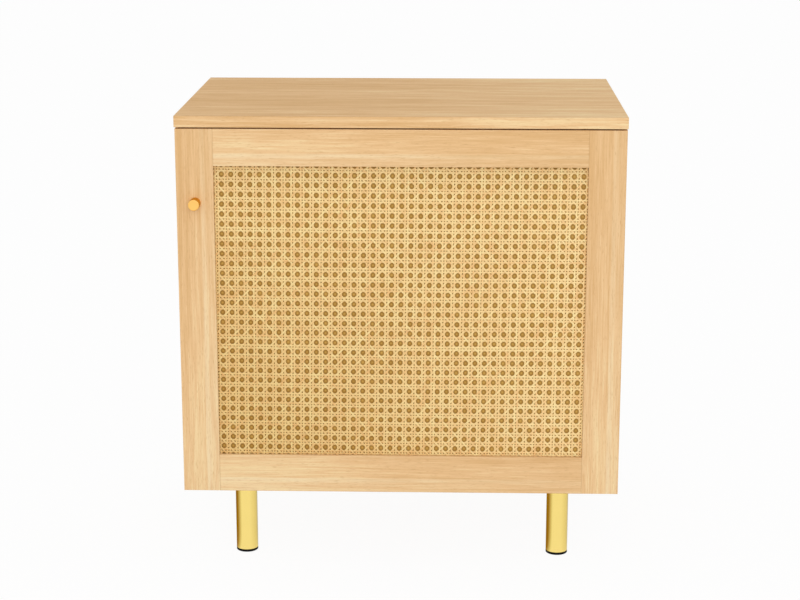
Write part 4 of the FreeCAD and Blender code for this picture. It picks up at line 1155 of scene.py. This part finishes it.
@dataclass
class Hardware:
    """Legs, knob, hinges, catch, fittings and screws.

    Attributes:
        fittings: Zinc-plated nodes besides the screws.
    """

    fittings: tuple[str, ...] = ("shelf_pins", "cam_locks", "cam_bolts", "leg_plates", "leg_nuts",
                                 "leg_studs", "strike_plate")

    def build(self) -> None:
        """Give every metal, plastic and rubber node its finish."""
        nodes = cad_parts
        screws = [n for n in nodes if "screw" in n]
        hinges = [n for n in nodes if n.startswith("hinge_") and n not in screws]
        dress([n for n in nodes if n.startswith("leg_tube")], Metal(
            "brass_plated_satin", "soft golden tube with a fine polish", "F7DC83", rough=0.17,
            brush=(0.8, 0.8, 30), depth=0.0006, even=0.985))
        dress(["knob"], Metal(
            "brass_turned", "warmer brass with fine turning marks", "FFC970", rough=0.30,
            brush=(2.0, 0.25, 2.0), depth=0.001, even=0.96, edge_tint="CEBD84"))
        dress([n for n in nodes if n.startswith("leg_foot")], Moulded(
            "nylon_moulded_black", "black foot pads", "050505", rough=0.6, gloss=0.15))
        dress(hinges, Metal(
            "steel_nickel_plated", "bright slightly warm hinge metal", "D8D5CE", rough=0.2,
            brush=(5, 5, 0.8)))
        dress([*screws, *self.fittings], Metal(
            "steel_zinc_plated", "greyer plated fittings and screws", "BFC1C2", rough=0.34))
        dress(["catch_housing"], Moulded(
            "polystyrene_moulded_white", "white catch case", "E6E4DE", rough=0.4))
        dress(["catch_magnet"], PlainBoard(
            "ferrite_pressed", "dark grey magnet", dark="2B2B2D", light="3A3A3C",
            size=(0.8, 0.8, 0.8), rough=0.5))
        dress(["door_bumpers"], Moulded(
            "rubber_cast_clear", "soft milky pads", "CFCFC9", rough=0.35))


# ------------------------------------------------------------------------------------------
# Studio
# ------------------------------------------------------------------------------------------


@dataclass
class Studio:
    """White floor and surroundings, a soft light from the front, and a glowing screen round each
    front leg that paints a reflection into it.

    Attributes:
        world_level: Strength of the surroundings as a light.
        lamp_power: Power of the front light in watts.
        lamp_size: Its width and height in metres.
        lamp_place: Where it hangs.
        lamp_aim: What it points at.
        floor_size: Length of the floor's sides in metres.
        floor_colour: Colour of the floor as a diffuse surface.
        white_share: Share of plain white that the eye and mirrors see on the floor; the rest
            is its shading, which carries the table's shadow.
        screen_radius: Radius of a screen in metres.
        screen_gap: Its distance from the leg and from the floor.
        screen_steps: Number of directions in which a screen has points.
        screen_colours: Colour that the screen glows with by direction from the leg, in degrees from
            the front, left positive; a painted reflection of grey and brown shade for the leg to
            mirror.
    """

    world_level: float = 0.76
    lamp_power: float = 30.0
    lamp_size: tuple[float, float] = (3.0, 1.8)
    lamp_place: Triple = (0.3, -3.2, 1.6)
    lamp_aim: Triple = (0.0, 0.0, 0.3)
    floor_size: float = 40.0
    floor_colour: str = "F8F8F8"
    white_share: float = 0.94
    screen_radius: float = 0.10
    screen_gap: float = 1 * MM
    screen_steps: int = 73
    screen_colours: tuple[tuple[float, str], ...] = (
        (-180.0, "C4C4C8"), (-140.0, "CBCBCD"), (-106.0, "E8E5DA"), (-35.0, "FFFFFF"),
        (48.0, "FFFFFF"), (62.0, "E4E2D0"), (75.0, "CDBFA0"), (100.0, "9A7718"),
        (180.0, "9A7718"))

    def sheet(self, name: str, points: Array, faces: Array,
              material: bpy.types.Material) -> bpy.types.Object:
        """Add a paper sheet that isn't part of the table.

        Args:
            name: Name of the piece.
            points: Its corners, N by 3.
            faces: Corner numbers of its faces, N by 4.
            material: Its material.

        Returns:
            The sheet.
        """
        mesh = bpy.data.meshes.new(name)
        mesh.from_pydata(points.tolist(), [], faces.tolist())
        mesh.materials.append(material)
        piece = put(name, mesh)
        LOG.info("%s: %d faces", name, len(faces))
        return piece

    def seen(self, graph: Graph) -> Socket:
        """Tell the rays that show the background from those that light the table.

        Args:
            graph: Node tree to add to.

        Returns:
            1 for camera, mirror and glass rays, 0 for the others.
        """
        camera = graph.add("LightPath", output="Is Camera Ray")
        rays = camera.node.outputs
        mirror = graph.add("Math", rays["Is Glossy Ray"], rays["Is Transmission Ray"],
                           operation="MAXIMUM")
        return graph.add("Math", camera, mirror, operation="MAXIMUM")

    def floor(self) -> None:
        """Add the floor: white to the eye, with the table's shadow on it."""
        graph = Graph("paper_white_matt", "white studio paper")
        paper = graph.add("BsdfDiffuse", srgb(self.floor_colour))
        white = graph.add("Emission", WHITE, 1.0)
        share = graph.add("Math", self.seen(graph), self.white_share, operation="MULTIPLY")
        graph.add("OutputMaterial", graph.add("MixShader", share, paper, white))
        corners = np.array([[-0.5, -0.5, 0], [0.5, -0.5, 0], [0.5, 0.5, 0], [-0.5, 0.5, 0]])
        self.sheet("studio_floor", self.floor_size * corners, np.array([[0, 1, 2, 3]]),
                   graph.owner)

    def screens(self) -> None:
        """Set a glowing screen round the back of each front leg, which shows in reflections alone as
        a painted reflection.

        A screen is a ring on the floor from the leg outwards and a wall on the ring's rim.  Each
        point lies in a direction from the leg's axis and carries the colour of that direction.
        """
        headings = np.array([heading for heading, _ in self.screen_colours])
        colours = np.array([srgb(code) for _, code in self.screen_colours])
        angles = np.linspace(headings[0], headings[-1], self.screen_steps)
        shades = np.column_stack([np.interp(angles, headings, part) for part in colours.T])
        around = np.radians(angles)
        # Painted reflection: the screens glow with the colour of each direction and are hidden from
        # camera, diffuse, shadow and glass rays.
        graph = Graph("paper_dyed_matt", "glowing studio paper, darker to the left")
        shade = graph.add("Attribute", attribute_name="shade", output="Color")
        graph.add("OutputMaterial", graph.add("Emission", shade, 1.0))
        for side in ("left", "right"):
            low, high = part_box("leg_tube_%s_front" % side)
            middle = (low + high) / 2
            rings = (((high.x - low.x) / 2 + self.screen_gap, self.screen_gap),
                     (self.screen_radius, self.screen_gap), (self.screen_radius, high.z))
            points = np.concatenate([np.column_stack((
                middle.x - radius * np.sin(around), middle.y - radius * np.cos(around),
                np.full(len(angles), height))) for radius, height in rings])
            first = np.arange(len(angles) - 1)
            first = np.concatenate((first, first + len(angles)))
            faces = first[:, None] + (0, 1, 1 + len(angles), len(angles))
            screen = self.sheet("studio_screen_%s" % side, points, faces, graph.owner)
            attribute = screen.data.attributes.new("shade", "FLOAT_COLOR", "POINT")
            rows = np.tile(np.column_stack((shades, np.ones(len(angles)))), (len(rings), 1))
            attribute.data.foreach_set("color", rows.astype(np.float32).ravel())
            for ray in ("camera", "diffuse", "shadow", "transmission"):
                setattr(screen, "visible_" + ray, False)

    def lamp(self) -> None:
        """Add the soft light in front of the table."""
        light = bpy.data.lights.new("studio_front", "AREA")
        light.shape = "RECTANGLE"
        light.size, light.size_y = self.lamp_size
        light.energy = self.lamp_power
        aim = Vector(self.lamp_aim) - Vector(self.lamp_place)
        turn = aim.to_track_quat("-Z", "Y").to_matrix().to_4x4()
        put("studio_front", light, Matrix.Translation(self.lamp_place) @ turn)

    def world(self) -> None:
        """Surround the table with white that lights it at its own level."""
        graph = Graph("studio_white", "white all round", world=True)
        strength = graph.add("MapRange", self.seen(graph), To_Min=self.world_level)
        graph.add("OutputWorld", graph.add("Background", WHITE, strength))
        bpy.context.scene.world = graph.owner

    def build(self) -> None:
        """Add floor, screens, lamp and world."""
        self.floor()
        self.screens()
        self.lamp()
        self.world()


@dataclass
class Camera:
    """Camera that shows the table as a person standing in front of it sees it.

    Attributes:
        place: Its position in metres.
        yaw: Turn to the right in radians.
        tilt: Turn downwards in radians.
        lens: Focal length in millimetres.
        sensor: Width of the sensor in millimetres.
        far: Distance in metres up to which it sees.
    """

    place: Triple = (0.070393, -2.709747, 1.003360)
    yaw: float = -0.02815
    tilt: float = 0.241784
    lens: float = 86.739
    sensor: float = 36.0
    far: float = 50.0

    def build(self) -> None:
        """Add the camera and make it the scene's own."""
        data = bpy.data.cameras.new("camera")
        data.sensor_width = self.sensor
        data.lens = self.lens
        data.clip_end = self.far
        turn = Matrix.Rotation(-self.yaw, 4, "Z") @ Matrix.Rotation(math.pi / 2 - self.tilt, 4, "X")
        bpy.context.scene.camera = put("camera", data, Matrix.Translation(self.place) @ turn)


def main() -> None:
    """Dress the table, build the cane, then light it."""
    logging.basicConfig(level=logging.INFO)
    bpy.context.scene.view_settings.view_transform = "Standard"
    for part in (Cabinet, DoorFrame, Hardware, CaneWeave, Studio, Camera):
        part().build()
        LOG.info("%s is in place", part.__name__)


if __name__ == "__main__":
    main()
